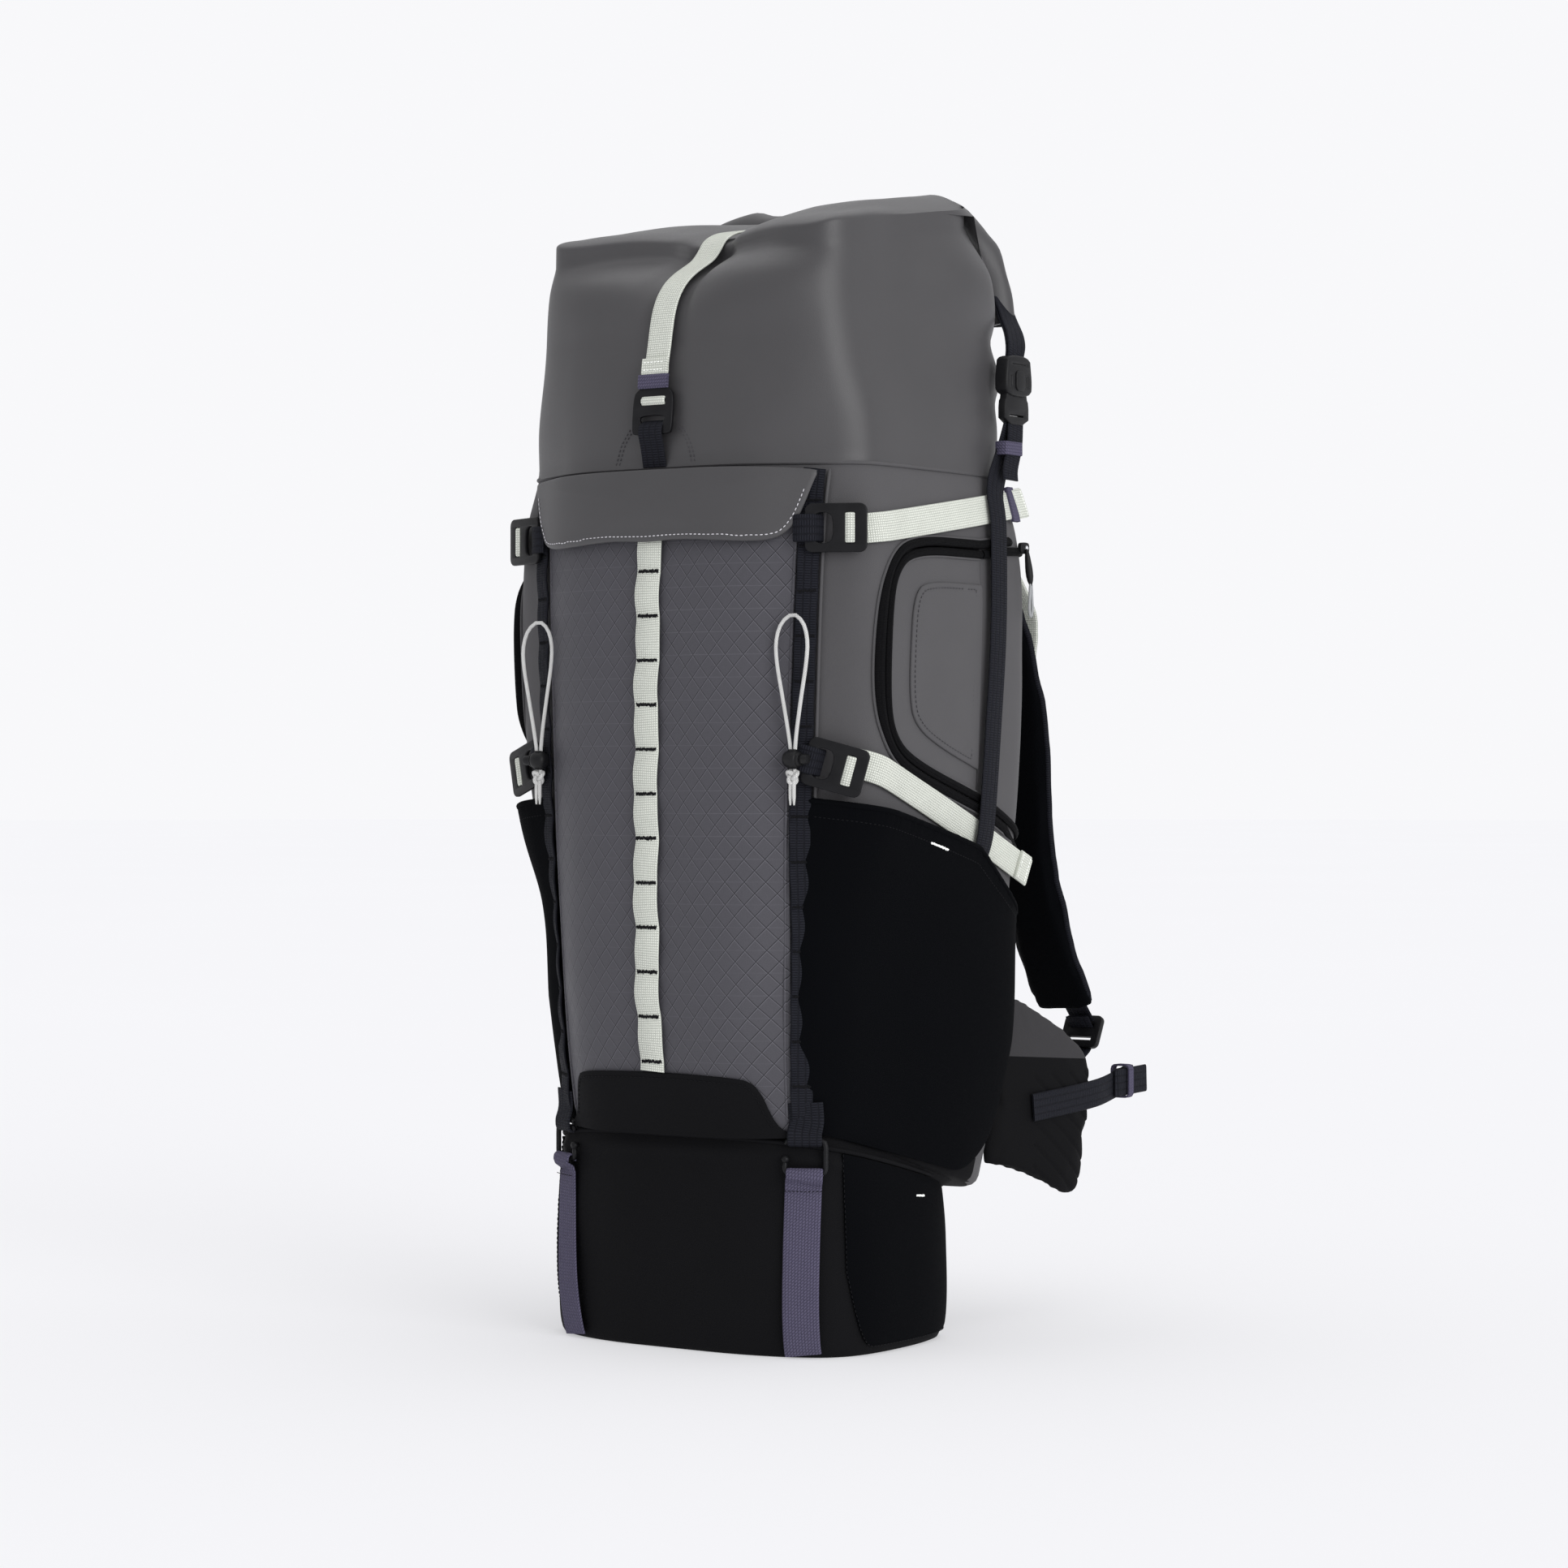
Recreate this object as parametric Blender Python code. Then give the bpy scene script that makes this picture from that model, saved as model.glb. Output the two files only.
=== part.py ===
"""Roll-top hiking backpack with a hook-on bottom bin, standing on its base.

Metres, +Z up, -Y the front of the pack, +Y the wearer's side, +X the pack's right
as seen from the front. The origin is the centre of the bottom bin's base.
"""

import math

import bmesh
import bpy
from mathutils import Vector

# Driving dimensions, metres
WALL = 0.004
GAP = 0.0006
SEAM_HEIGHT = 0.600
FLOOR_HEIGHT = 0.126
FLOOR_SLOPE = -0.24
WEBBING = 0.020
EDGE_WEBBING = 0.015
BIN_WEBBING = 0.025
WEBBING_THICKNESS = 0.0016
DOOR_FRONT, DOOR_REAR = -0.062, 0.052
DOOR_TOP, DOOR_BOTTOM_FRONT, DOOR_BOTTOM_REAR = 0.5455, 0.412, 0.372
DOOR_THICKNESS = 0.006
DOOR_CLEARANCE = 0.0018
CORD_RADIUS = 0.0013
STRAP_LEAVES = 0.090
PAD_THICKNESS = 0.014

# Half-outlines of the body in plan, front centre to back centre, from low to high:
# height, then front centre, front bulge, panel edge, side front, side, side rear,
# rear corner, back bulge and back centre as (x, y).
BODY_PLANS = (
    (None, (0, -.098), (.055, -.098), (.088, -.080), (.110, -.066), (.117, -.045),
     (.126, .050), (.122, .097), (.090, .106), (0, .106)),
    (0.200, (0, -.110), (.058, -.111), (.094, -.083), (.113, -.069), (.121, -.045),
     (.133, .058), (.131, .114), (.095, .119), (0, .119)),
    (0.300, (0, -.116), (.060, -.117), (.101, -.086), (.118, -.071), (.126, -.045),
     (.137, .060), (.134, .117), (.095, .121), (0, .121)),
    (0.352, (0, -.116), (.061, -.117), (.104, -.087), (.138, -.072), (.146, -.045),
     (.151, .068), (.144, .121), (.098, .122), (0, .122)),
    (0.420, (0, -.116), (.062, -.117), (.107, -.087), (.149, -.072), (.152, -.045),
     (.1555, .071), (.153, .127), (.100, .126), (0, .126)),
    (0.560, (0, -.112), (.063, -.113), (.111, -.086), (.149, -.072), (.152, -.045),
     (.1555, .071), (.150, .122), (.100, .122), (0, .122)),
    (SEAM_HEIGHT, (0, -.110), (.062, -.111), (.108, -.086), (.140, -.067), (.144, -.040),
     (.147, .060), (.139, .112), (.095, .114), (0, .114)),
)
COLLAR_PLANS = (
    (0.602,) + BODY_PLANS[-1][1:],
    (0.660, (0, -.106), (.060, -.108), (.106, -.090), (.134, -.072), (.140, -.040),
     (.144, .060), (.136, .108), (.095, .110), (0, .110)),
    (0.725, (0, -.084), (.056, -.095), (.104, -.088), (.124, -.073), (.128, -.040),
     (.131, .055), (.123, .095), (.090, .099), (0, .099)),
    (None, (0, -.040), (.050, -.056), (.098, -.070), (.116, -.062), (.119, -.035),
     (.119, .045), (.111, .078), (.080, .081), (0, .081)),
)
BIN_PLANS = (
    (0.000, (0, -.087), (.050, -.087), (.088, -.077), (.112, -.060), (.121, -.030),
     (.120, .035), (.106, .066), (.080, .069), (0, .069)),
    (0.008, (0, -.094), (.052, -.094), (.094, -.083), (.121, -.067), (.131, -.032),
     (.129, .038), (.113, .074), (.082, .076), (0, .076)),
    (0.070, (0, -.096), (.053, -.096), (.096, -.084), (.122, -.068), (.132, -.032),
     (.129, .038), (.114, .075), (.082, .077), (0, .077)),
    (None, (0, -.093), (.053, -.093), (.088, -.078), (.110, -.064), (.119, -.034),
     (.118, .036), (.106, .070), (.080, .073), (0, .073)),
)


def start_scene():
    for old in list(bpy.data.objects):
        bpy.data.objects.remove(old)


def material(name, colour, roughness, metallic=0.0):
    found = bpy.data.materials.get(name)
    if found:
        return found
    made = bpy.data.materials.new(name)
    made.use_nodes = True
    shader = made.node_tree.nodes["Principled BSDF"]
    shader.inputs["Base Color"].default_value = (*colour, 1.0)
    shader.inputs["Roughness"].default_value = roughness
    shader.inputs["Metallic"].default_value = metallic
    return made


def grey_fabric():
    return material("grey_coated_fabric", (0.095, 0.093, 0.096), 0.6)


def ripstop():
    return material("grey_ripstop", (0.090, 0.088, 0.102), 0.55)


def black_fabric():
    return material("black_fabric", (0.010, 0.010, 0.012), 0.75)


def stretch_mesh():
    return material("black_stretch_fabric", (0.004, 0.004, 0.006), 0.8)


def white_webbing():
    return material("white_webbing", (0.72, 0.75, 0.68), 0.7)


def black_webbing():
    return material("black_webbing", (0.016, 0.017, 0.024), 0.65)


def violet_webbing():
    return material("slate_violet_webbing", (0.125, 0.115, 0.185), 0.7)


def black_metal():
    return material("black_coated_aluminium", (0.018, 0.018, 0.020), 0.4, 1.0)


def black_plastic():
    return material("black_acetal", (0.012, 0.012, 0.014), 0.45)


def white_cord():
    return material("white_elastic_cord", (0.78, 0.78, 0.76), 0.6)


def bare_aluminium():
    return material("bare_aluminium", (0.75, 0.76, 0.77), 0.35, 1.0)


def finish(bm, name, look, origin=(0, 0, 0)):
    """Turns a bmesh in world coordinates into an object whose origin is the given point."""
    bmesh.ops.remove_doubles(bm, verts=bm.verts, dist=1e-6)
    bmesh.ops.recalc_face_normals(bm, faces=bm.faces)
    bmesh.ops.translate(bm, verts=bm.verts, vec=-Vector(origin))
    mesh = bpy.data.meshes.new(name)
    bm.to_mesh(mesh)
    bm.free()
    made = bpy.data.objects.new(name, mesh)
    made.location = origin
    mesh.materials.append(look)
    bpy.context.scene.collection.objects.link(made)
    return made


def loft(rings):
    """A closed body through rings of equally many points, with both ends capped."""
    bm = bmesh.new()
    loops = [[bm.verts.new(p) for p in ring] for ring in rings]
    for low, high in zip(loops, loops[1:]):
        for i in range(len(low)):
            j = (i + 1) % len(low)
            bm.faces.new((low[i], low[j], high[j], high[i]))
    bm.faces.new(loops[0])
    bm.faces.new(loops[-1])
    return bm


def patch(outer, inner):
    """A closed body between two grids of points, rows by columns."""
    bm = bmesh.new()
    grids = [[[bm.verts.new(p) for p in row] for row in grid] for grid in (outer, inner)]
    rows, columns = len(outer), len(outer[0])
    for grid in grids:
        for r in range(rows - 1):
            for c in range(columns - 1):
                bm.faces.new((grid[r][c], grid[r][c + 1], grid[r + 1][c + 1], grid[r + 1][c]))
    rim = [(0, c) for c in range(columns)]
    rim += [(r, columns - 1) for r in range(1, rows)]
    rim += [(rows - 1, c) for c in range(columns - 2, -1, -1)]
    rim += [(r, 0) for r in range(rows - 2, 0, -1)]
    for (r, c), (s, d) in zip(rim, rim[1:] + rim[:1]):
        bm.faces.new((grids[0][r][c], grids[0][s][d], grids[1][s][d], grids[1][r][c]))
    return bm


def cells(xs, ys, zs, place, empty=()):
    """A closed body from a block of cells with some left out; place maps a local point."""
    bm = bmesh.new()
    verts = {}

    def vert(i, j, k):
        if (i, j, k) not in verts:
            verts[i, j, k] = bm.verts.new(place(Vector((xs[i], ys[j], zs[k]))))
        return verts[i, j, k]

    def filled(i, j, k):
        inside = i in range(len(xs) - 1) and j in range(len(ys) - 1) and k in range(len(zs) - 1)
        return inside and (i, j, k) not in empty

    for i in range(len(xs) - 1):
        for j in range(len(ys) - 1):
            for k in range(len(zs) - 1):
                if not filled(i, j, k):
                    continue
                for step in (0, 1):
                    side = 2 * step - 1
                    if not filled(i + side, j, k):
                        bm.faces.new([vert(i + step, j + a, k + b) for a, b in
                                      ((0, 0), (1, 0), (1, 1), (0, 1))])
                    if not filled(i, j + side, k):
                        bm.faces.new([vert(i + a, j + step, k + b) for a, b in
                                      ((0, 0), (1, 0), (1, 1), (0, 1))])
                    if not filled(i, j, k + side):
                        bm.faces.new([vert(i + a, j + b, k + step) for a, b in
                                      ((0, 0), (1, 0), (1, 1), (0, 1))])
    return bm


def strap(path, across, width, thickness):
    """A flat strap of rectangular section along a path; across gives its width direction."""
    points = [Vector(p) for p in path]
    widths = across if isinstance(across, list) else [across] * len(points)
    rings = []
    for i, point in enumerate(points):
        along = points[min(i + 1, len(points) - 1)] - points[max(i - 1, 0)]
        wide = Vector(widths[i])
        wide = (wide - along * wide.dot(along) / along.length_squared).normalized()
        up = along.normalized().cross(wide)
        half = wide * (width[i] if isinstance(width, list) else width) / 2
        rise = up * thickness / 2
        rings.append([point - half - rise, point + half - rise,
                      point + half + rise, point - half + rise])
    return loft(rings)


def smooth_route(points, spacing):
    """Points at an even spacing on a smooth curve through the given points."""
    knots = [Vector(p) for p in points]
    knots = [2 * knots[0] - knots[1]] + knots + [2 * knots[-1] - knots[-2]]
    route = []
    for a, b, c, d in zip(knots, knots[1:], knots[2:], knots[3:]):
        steps = max(1, round((c - b).length / spacing))
        for i in range(steps):
            t = i / steps
            route.append(0.5 * (2 * b + (c - a) * t + (2 * a - 5 * b + 4 * c - d) * t * t
                                + (3 * b - a - 3 * c + d) * t ** 3))
    route.append(knots[-2])
    return route


def tube(name, points, radius, look):
    """A round cord with filled ends along a list of points."""
    curve = bpy.data.curves.new(name, "CURVE")
    curve.dimensions = "3D"
    curve.bevel_depth = radius
    curve.bevel_resolution = 2
    curve.use_fill_caps = True
    line = curve.splines.new("POLY")
    line.points.add(len(points) - 1)
    for spot, point in zip(line.points, points):
        spot.co = (*point, 1.0)
    curve.materials.append(look)
    made = bpy.data.objects.new(name, curve)
    bpy.context.scene.collection.objects.link(made)
    return made


def rounded(points):
    """One round of corner cutting on an open outline, keeping its two ends."""
    result = [points[0]]
    for a, b in zip(points, points[1:]):
        result.append(a.lerp(b, 0.25))
        result.append(a.lerp(b, 0.75))
    result.append(points[-1])
    return result


def half_outline(plan):
    return rounded([Vector((x, y)) for x, y in plan[1:]])


def inset(points, depth):
    """Moves a closed outline inwards in plan."""
    moved = []
    for i, point in enumerate(points):
        along = (points[(i + 1) % len(points)] - points[i - 1]).normalized()
        moved.append(point + depth * Vector((-along.y, along.x)))
    return moved


def ring(plan, height_of, depth=0.0, lift=0.0):
    """A closed ring at a plan's height, or on the slope that height_of gives."""
    half = half_outline(plan)
    outline = half + [Vector((-p.x, p.y)) for p in reversed(half[1:-1])]
    heights = [plan[0] if plan[0] is not None else height_of(p.y) for p in outline]
    return [(p.x, p.y, h + lift) for p, h in zip(inset(outline, depth), heights)]


def floor_height(y):
    """The main body's base slopes down to the rear."""
    return FLOOR_HEIGHT + FLOOR_SLOPE * y


def top_height(y):
    """The roll top's upper face rises to the rear."""
    return 0.766 + 0.17 * y


def plan_at(height, y):
    """The body's rounded half-outline at a height, between two stated plans, near a depth y."""
    stated = [(floor_height(y) if p[0] is None else p[0], half_outline(p)) for p in BODY_PLANS]
    for (low, a), (high, b) in zip(stated, stated[1:]):
        if height <= high:
            break
    share = max(0.0, min(1.0, (height - low) / (high - low)))
    return [p.lerp(q, share) for p, q in zip(a, b)]


def front_y(x, height):
    """The front surface's y at a distance x from the centre."""
    outline = plan_at(height, -0.09)
    for a, b in zip(outline, outline[1:]):
        if b.x >= abs(x):
            return a.y + (b.y - a.y) * (abs(x) - a.x) / (b.x - a.x)
    return outline[-1].y


def side_x(y, height):
    """The side surface's x at a depth y."""
    outline = plan_at(height, y)
    for a, b in zip(outline[3:], outline[4:]):
        if b.y >= y:
            return a.x + (b.x - a.x) * (y - a.y) / (b.y - a.y)
    return outline[-1].x


def back_y(height):
    return plan_at(height, 0.1)[-1].y


def bin_front_y(x, height):
    """The bin's front surface, between its upright plans."""
    share = max(0.0, min(1.0, (height - BIN_PLANS[1][0]) / (BIN_PLANS[2][0] - BIN_PLANS[1][0])))
    outline = [p.lerp(q, share) for p, q in zip(half_outline(BIN_PLANS[1]),
                                                half_outline(BIN_PLANS[2]))]
    for a, b in zip(outline, outline[1:]):
        if b.x >= x:
            return a.y + (b.y - a.y) * (x - a.x) / (b.x - a.x)
    return outline[-1].y


def front_patch(name, rows, low, high, look, origin=(0, 0, 0), columns=16):
    """A sheet over the front between two distances from the body; rows are (height, half width)."""
    grids = []
    for proud in (high, low):
        grid = []
        for height, half in rows:
            xs = [half * (2 * c / columns - 1) for c in range(columns + 1)]
            grid.append([(x, front_y(x, height) - proud, height) for x in xs])
        grids.append(grid)
    return finish(patch(*grids), name, look, origin)


def side_strip(name, side, centre, width, proud, look):
    """Webbing along the side, its rear end free; centre is a list of (y, height)."""
    held = [(y, min(y, STRAP_LEAVES), z) for y, z in centre]
    path = [(side * (side_x(near, z) + proud), y, z) for y, near, z in held]
    leans = [(side_x(y, z + 0.008) - side_x(y, z - 0.008)) / 0.016 for _, y, z in held]
    across = [(side * lean, 0, 1) for lean in leans]
    return finish(strap(path, across, width, WEBBING_THICKNESS), name, look)


def spread(start, end, steps):
    return [start + (end - start) * i / steps for i in range(steps + 1)]


def door_outline(grow):
    """The side door's outline as (y, height), grown outwards by a clearance."""
    corners = [
        Vector((DOOR_REAR + grow, DOOR_BOTTOM_REAR - grow)),
        Vector((DOOR_REAR + grow, DOOR_TOP + grow)),
        Vector((-0.030, DOOR_TOP + grow)),
        Vector((-0.054 - grow * 0.7, DOOR_TOP - 0.016 + grow * 0.7)),
        Vector((DOOR_FRONT - grow, 0.500)),
        Vector((DOOR_FRONT - grow, 0.440)),
        Vector((-0.052 - grow * 0.7, DOOR_BOTTOM_FRONT - grow * 0.7)),
        Vector((-0.026, 0.395 - grow)),
    ]
    return corners


def make_main_shell():
    outer = [ring(plan, floor_height) for plan in BODY_PLANS]
    inner = [ring(plan, floor_height, WALL, WALL if plan[0] is None else 0.0)
             for plan in reversed(BODY_PLANS)]
    shell = finish(loft(outer + inner), "main_shell", grey_fabric())
    for side, tag in ((1, "r"), (-1, "l")):
        hole = door_outline(DOOR_CLEARANCE)
        rings = [[(side * x, p.x, p.y) for p in hole] for x in (0.120, 0.180)]
        cutter = finish(loft(rings), "door_cutter_" + tag, grey_fabric())
        cutter.hide_render = True
        cutter.display_type = "WIRE"
        cut = shell.modifiers.new("door_hole_" + tag, "BOOLEAN")
        cut.operation = "DIFFERENCE"
        cut.object = cutter


def make_roll_top():
    outer = [ring(plan, top_height) for plan in COLLAR_PLANS]
    inner = [ring(plan, top_height, WALL, -WALL if plan[0] is None else 0.0)
             for plan in COLLAR_PLANS]
    finish(loft(list(reversed(inner)) + outer), "roll_top_collar", grey_fabric())
    rings = []
    for share in spread(-1.0, 1.0, 10):
        bend = max(0.0, abs(share) - 0.45) / 0.55
        x = 0.146 * share
        y = 0.110 + 0.014 * bend
        z = 0.776 - 0.034 * bend ** 1.5
        radius = 0.019 - 0.006 * bend ** 3
        rings.append([(x, y + 0.9 * radius * math.cos(a), z + 1.15 * radius * math.sin(a))
                      for a in spread(0.0, 2 * math.pi, 10)[:-1]])
    finish(loft(rings), "roll_top_closure", grey_fabric())


def make_bottom_bin():
    def rim(y):
        return floor_height(y) - 2 * GAP

    outer = [ring(plan, rim) for plan in BIN_PLANS]
    inner = [ring(BIN_PLANS[-1], rim, WALL), ring(BIN_PLANS[2], rim, WALL),
             ring(BIN_PLANS[0], rim, 0.0, WALL)]
    finish(loft(outer + inner), "bottom_bin", black_fabric())


def make_front():
    front_patch("front_pocket_panel", [(z, 0.090 + 0.011 * (z - 0.17) / 0.4)
                                       for z in (0.162, 0.200, 0.300, 0.352, 0.420, 0.560, 0.585)],
                0.0016, 0.0030, ripstop())
    front_patch("front_shield", [(0.148, 0.086), (0.162, 0.080), (0.176, 0.066), (0.190, 0.054)],
                0.0047, 0.0064, black_fabric())
    hinge = (0, front_y(0, 0.597) - 0.0088, 0.597)
    front_patch("front_flap", [(0.548, 0.086), (0.563, 0.104), (0.580, 0.111), (0.597, 0.117)],
                0.0068, 0.0088, grey_fabric(), hinge)
    path = [(0, front_y(0, z) - 0.0048, z) for z in (0.196, 0.240, 0.300, 0.352, 0.420, 0.500,
                                                    0.560, 0.590)]
    finish(strap(path, (1, 0, 0), WEBBING, WEBBING_THICKNESS),
           "front_daisy_chain", white_webbing())


def make_centre_closure():
    """The strap over the roll top and the hook at its front end."""
    path = smooth_route([(0, -0.1145, 0.645), (0, -0.1095, 0.662), (0, -0.1000, 0.690),
                         (0, -0.0880, 0.7265), (0, -0.0430, 0.7630), (0, 0.000, 0.7705),
                         (0, 0.045, 0.7785), (0, 0.080, 0.7900), (0, 0.110, 0.8005),
                         (0, 0.1275, 0.793), (0, 0.1315, 0.772), (0, 0.1290, 0.720),
                         (0, 0.1255, 0.640), (0, 0.1230, 0.606)], 0.02)
    finish(strap(path, (1, 0, 0), WEBBING, WEBBING_THICKNESS), "centre_strap", white_webbing())

    def on_front(local):
        return Vector((local.x, -0.1165 + local.y + 0.06 * (local.z - 0.63), local.z))

    xs = (-0.0155, -0.0108, 0.0108, 0.0155)
    zs = (0.6185, 0.6235, 0.6290, 0.6345, 0.6395, 0.6435, 0.6500)
    finish(cells(xs, (-0.0028, 0.0), zs, on_front, {(1, 0, 1), (1, 0, 4)}),
           "centre_hook", black_metal())


def make_edge_webbing(side, tag):
    path = []
    across = []
    for z in spread(0.166, 0.586, 8):
        x = 0.0965 + 0.0155 * (z - 0.166) / 0.42
        slope = (front_y(x + 0.006, z) - front_y(x - 0.006, z)) / 0.012
        path.append((side * x, front_y(x, z) - 0.0054, z))
        across.append((side, slope, 0))
    finish(strap(path, across, EDGE_WEBBING, WEBBING_THICKNESS),
           "edge_daisy_chain_" + tag, black_webbing())


def make_compression_hook(side, tag, level, height, tilt):
    """A flat hook plate on the front corner, with a hook slot and a webbing slot."""
    start = Vector((0.1125, -0.0945, height))
    along = Vector((0.0385, 0.0170, -0.0385 * tilt)).normalized()
    out = Vector((0.0170, -0.0385, 0)).normalized()
    up = out.cross(along) * -1

    def place(local):
        point = start + along * local.x + up * local.z + out * local.y
        return Vector((side * point.x, point.y, point.z))

    xs = (0.0, 0.004, 0.013, 0.0185, 0.0245, 0.034, 0.0375, 0.0405)
    zs = (-0.0155, -0.0108, 0.0108, 0.0155)
    finish(cells(xs, (0.0, 0.0026), zs, place, {(1, 0, 1), (4, 0, 1)}),
           f"{level}_compression_hook_{tag}", black_metal())


def make_compression_straps(side, tag):
    make_compression_hook(side, tag, "upper", 0.5545, 0.0)
    make_compression_hook(side, tag, "lower", 0.4010, 0.30)
    upper = [(y, 0.5560 + 0.145 * (y + 0.058)) for y in spread(-0.058, 0.116, 14)]
    lower = [(y, 0.3925 - 0.385 * (y + 0.058)) for y in spread(-0.058, 0.126, 15)]
    side_strip("upper_compression_strap_" + tag, side, upper, WEBBING, 0.0024, white_webbing())
    side_strip("lower_compression_strap_" + tag, side, lower, WEBBING, 0.0026, white_webbing())


def make_side_strap(side, tag):
    """The long webbing from the pocket seam up to the roll top's buckle."""
    centre = [(0.0635, 0.0040, 0.3600), (0.0650, 0.0070, 0.372), (0.068, 0.0080, 0.420),
              (0.071, 0.0082, 0.490), (0.0750, 0.0082, 0.560), (0.0780, 0.0068, 0.580)]
    path = [(side * (side_x(y, z) + lift), y, z) for y, lift, z in centre]
    path += [(side * 0.1505, 0.083, 0.600), (side * 0.1475, 0.089, 0.634)]
    finish(strap(path, (0, 1, 0), WEBBING, WEBBING_THICKNESS), "side_strap_" + tag,
           black_webbing())


def make_buckle(side, tag):
    """Side-release buckle: a socket on the roll top's tab and a sliding pronged half."""
    centre = Vector((0.1565, 0.0955, 0.0))

    def place(local):
        return Vector((side * (centre.x + local.x), centre.y + local.y, local.z))

    socket_x = (-0.0055, -0.0035, 0.0035, 0.0055)
    socket_y = (-0.0145, -0.0120, 0.0120, 0.0145)
    finish(cells(socket_x, socket_y, (0.6560, 0.6785, 0.6815), place, {(1, 1, 0)}),
           "buckle_socket_" + tag, black_plastic())
    base = [(-0.0050, -0.0145), (0.0050, -0.0145), (0.0050, 0.0145), (-0.0050, 0.0145)]
    rings = []
    for height, shrink in ((0.6360, 1.0), (0.6550, 1.0), (0.6553, 0.60), (0.6740, 0.55)):
        rings.append([place(Vector((x * shrink * (1.0 if shrink == 1.0 else 0.9),
                                    y * (1.0 if shrink == 1.0 else 0.76), height)))
                      for x, y in base])
    finish(loft(rings), "buckle_prongs_" + tag, black_plastic(), place(Vector((0, 0, 0.6455))))


def make_side_door(side, tag):
    outline = door_outline(0.0)
    rings = []
    for depth in (DOOR_THICKNESS, 0.0):
        rings.append([(side * (side_x(p.x, 0.48) - depth), p.x, p.y) for p in outline])
    hinge = (side * (side_x(DOOR_REAR, 0.48) + 0.0002), DOOR_REAR + 0.0006, DOOR_TOP)
    finish(loft(rings), "side_door_" + tag, grey_fabric(), hinge)


def make_zip_slider(side, tag):
    x = side_x(0.09, 0.55) + 0.0012

    def place(local):
        return Vector((side * (x + local.x), 0.1085 + local.y, local.z))

    finish(cells((0.0, 0.0024), (-0.005, 0.005), (0.5468, 0.5525), place),
           "zip_slider_" + tag, black_metal(), place(Vector((0, 0, 0.5495))))
    finish(cells((0.0028, 0.0046), (-0.0035, 0.0035), (0.5020, 0.5500), place),
           "zip_pull_" + tag, black_fabric(), place(Vector((0.0037, 0, 0.5500))))


def make_side_pocket(side, tag):
    """A stretch pocket whose top edge stands off the body."""
    columns = spread(-0.062, 0.098, 10)
    grids = []
    for proud in (0.0024, 0.0):
        grid = []
        for row in range(6):
            line = []
            for i, y in enumerate(columns):
                low = floor_height(y) + 0.014
                high = 0.364 - 0.16 * (y + 0.062) - 0.9 * max(0.0, y - 0.05) ** 1.2
                z = low + (high - low) * row / 5
                wide = math.sin(math.pi * i / 10) ** 0.5
                tall = min(1.0, row / 2)
                stand = 0.0022 + 0.0090 * wide * tall
                line.append((side * (side_x(y, z) + stand + proud), y, z))
            grid.append(line)
        grids.append(grid)
    finish(patch(*grids), "side_pocket_" + tag, stretch_mesh())


def make_elastic_loop(side, tag):
    """A loop of elastic cord hung on the edge webbing, both strands through a cord lock."""
    centre = Vector((0.1075, -0.1032, 0))
    strand = [(0.0085, -0.0008, 0.4915), (0.0125, -0.0014, 0.4800), (0.0118, -0.0016, 0.4650),
              (0.0075, -0.0012, 0.4420), (0.0035, -0.0006, 0.4200), (0.0017, 0.0000, 0.4060),
              (0.0016, 0.0000, 0.3940), (0.0022, -0.0008, 0.3840), (0.0030, -0.0008, 0.3705)]
    route = [(-x, y, z) for x, y, z in reversed(strand)] + [(0.0, 0.0, 0.4970)] + strand
    points = [(side * (centre.x + x), centre.y + y, z) for x, y, z in route]
    tube("elastic_cord_" + tag, smooth_route(points, 0.006), CORD_RADIUS, white_cord())

    def place(local):
        return Vector((side * (centre.x + local.x), centre.y + local.y, 0.4010 + local.z))

    xs = (-0.0065, -0.0035, 0.0035, 0.0045, 0.0095)
    ys = (-0.0052, -0.0024, -0.0017, 0.0017, 0.0024, 0.0052)
    zs = (-0.0050, -0.0026, 0.0026, 0.0050)
    cord_hole = {(1, 2, k) for k in range(3)}
    button_hole = {(3, j, 1) for j in (1, 2, 3)}
    finish(cells(xs, ys, zs, place, cord_hole | button_hole), "cord_lock_" + tag,
           black_plastic())
    finish(cells((0.0083, 0.0125), (-0.0021, 0.0021), (-0.0022, 0.0022), place),
           "cord_lock_button_" + tag, black_plastic(), place(Vector((0.0083, 0, 0))))


def make_back():
    heights = spread(0.140, 0.565, 7)
    rings = []
    for z in heights:
        half = 0.108 - 0.018 * abs((z - 0.35) / 0.215) ** 3
        near = back_y(z) + 0.0020
        far = near + 0.0172
        rings.append([(-half, near, z), (half, near, z), (half, far - 0.006, z),
                      (half - 0.012, far, z), (0.018, far, z), (0.010, far - 0.008, z),
                      (-0.010, far - 0.008, z), (-0.018, far, z), (0.012 - half, far, z),
                      (-half, far - 0.006, z)])
    finish(loft(rings), "back_panel_pad", black_fabric())
    stay = [(0, back_y(z) - WALL - 0.0030, z) for z in spread(0.165, 0.575, 6)]
    finish(strap(stay, (1, 0, 0), 0.025, 0.003), "frame_stay", bare_aluminium())
    handle = smooth_route([(-0.036, 0.1260, 0.583), (-0.034, 0.136, 0.598), (-0.024, 0.147, 0.606),
                           (0, 0.151, 0.608), (0.024, 0.147, 0.606), (0.034, 0.136, 0.598),
                           (0.036, 0.1260, 0.583)], 0.012)
    finish(strap(handle, (0, -0.5, 1), WEBBING, 0.003), "haul_handle", black_webbing())


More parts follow.
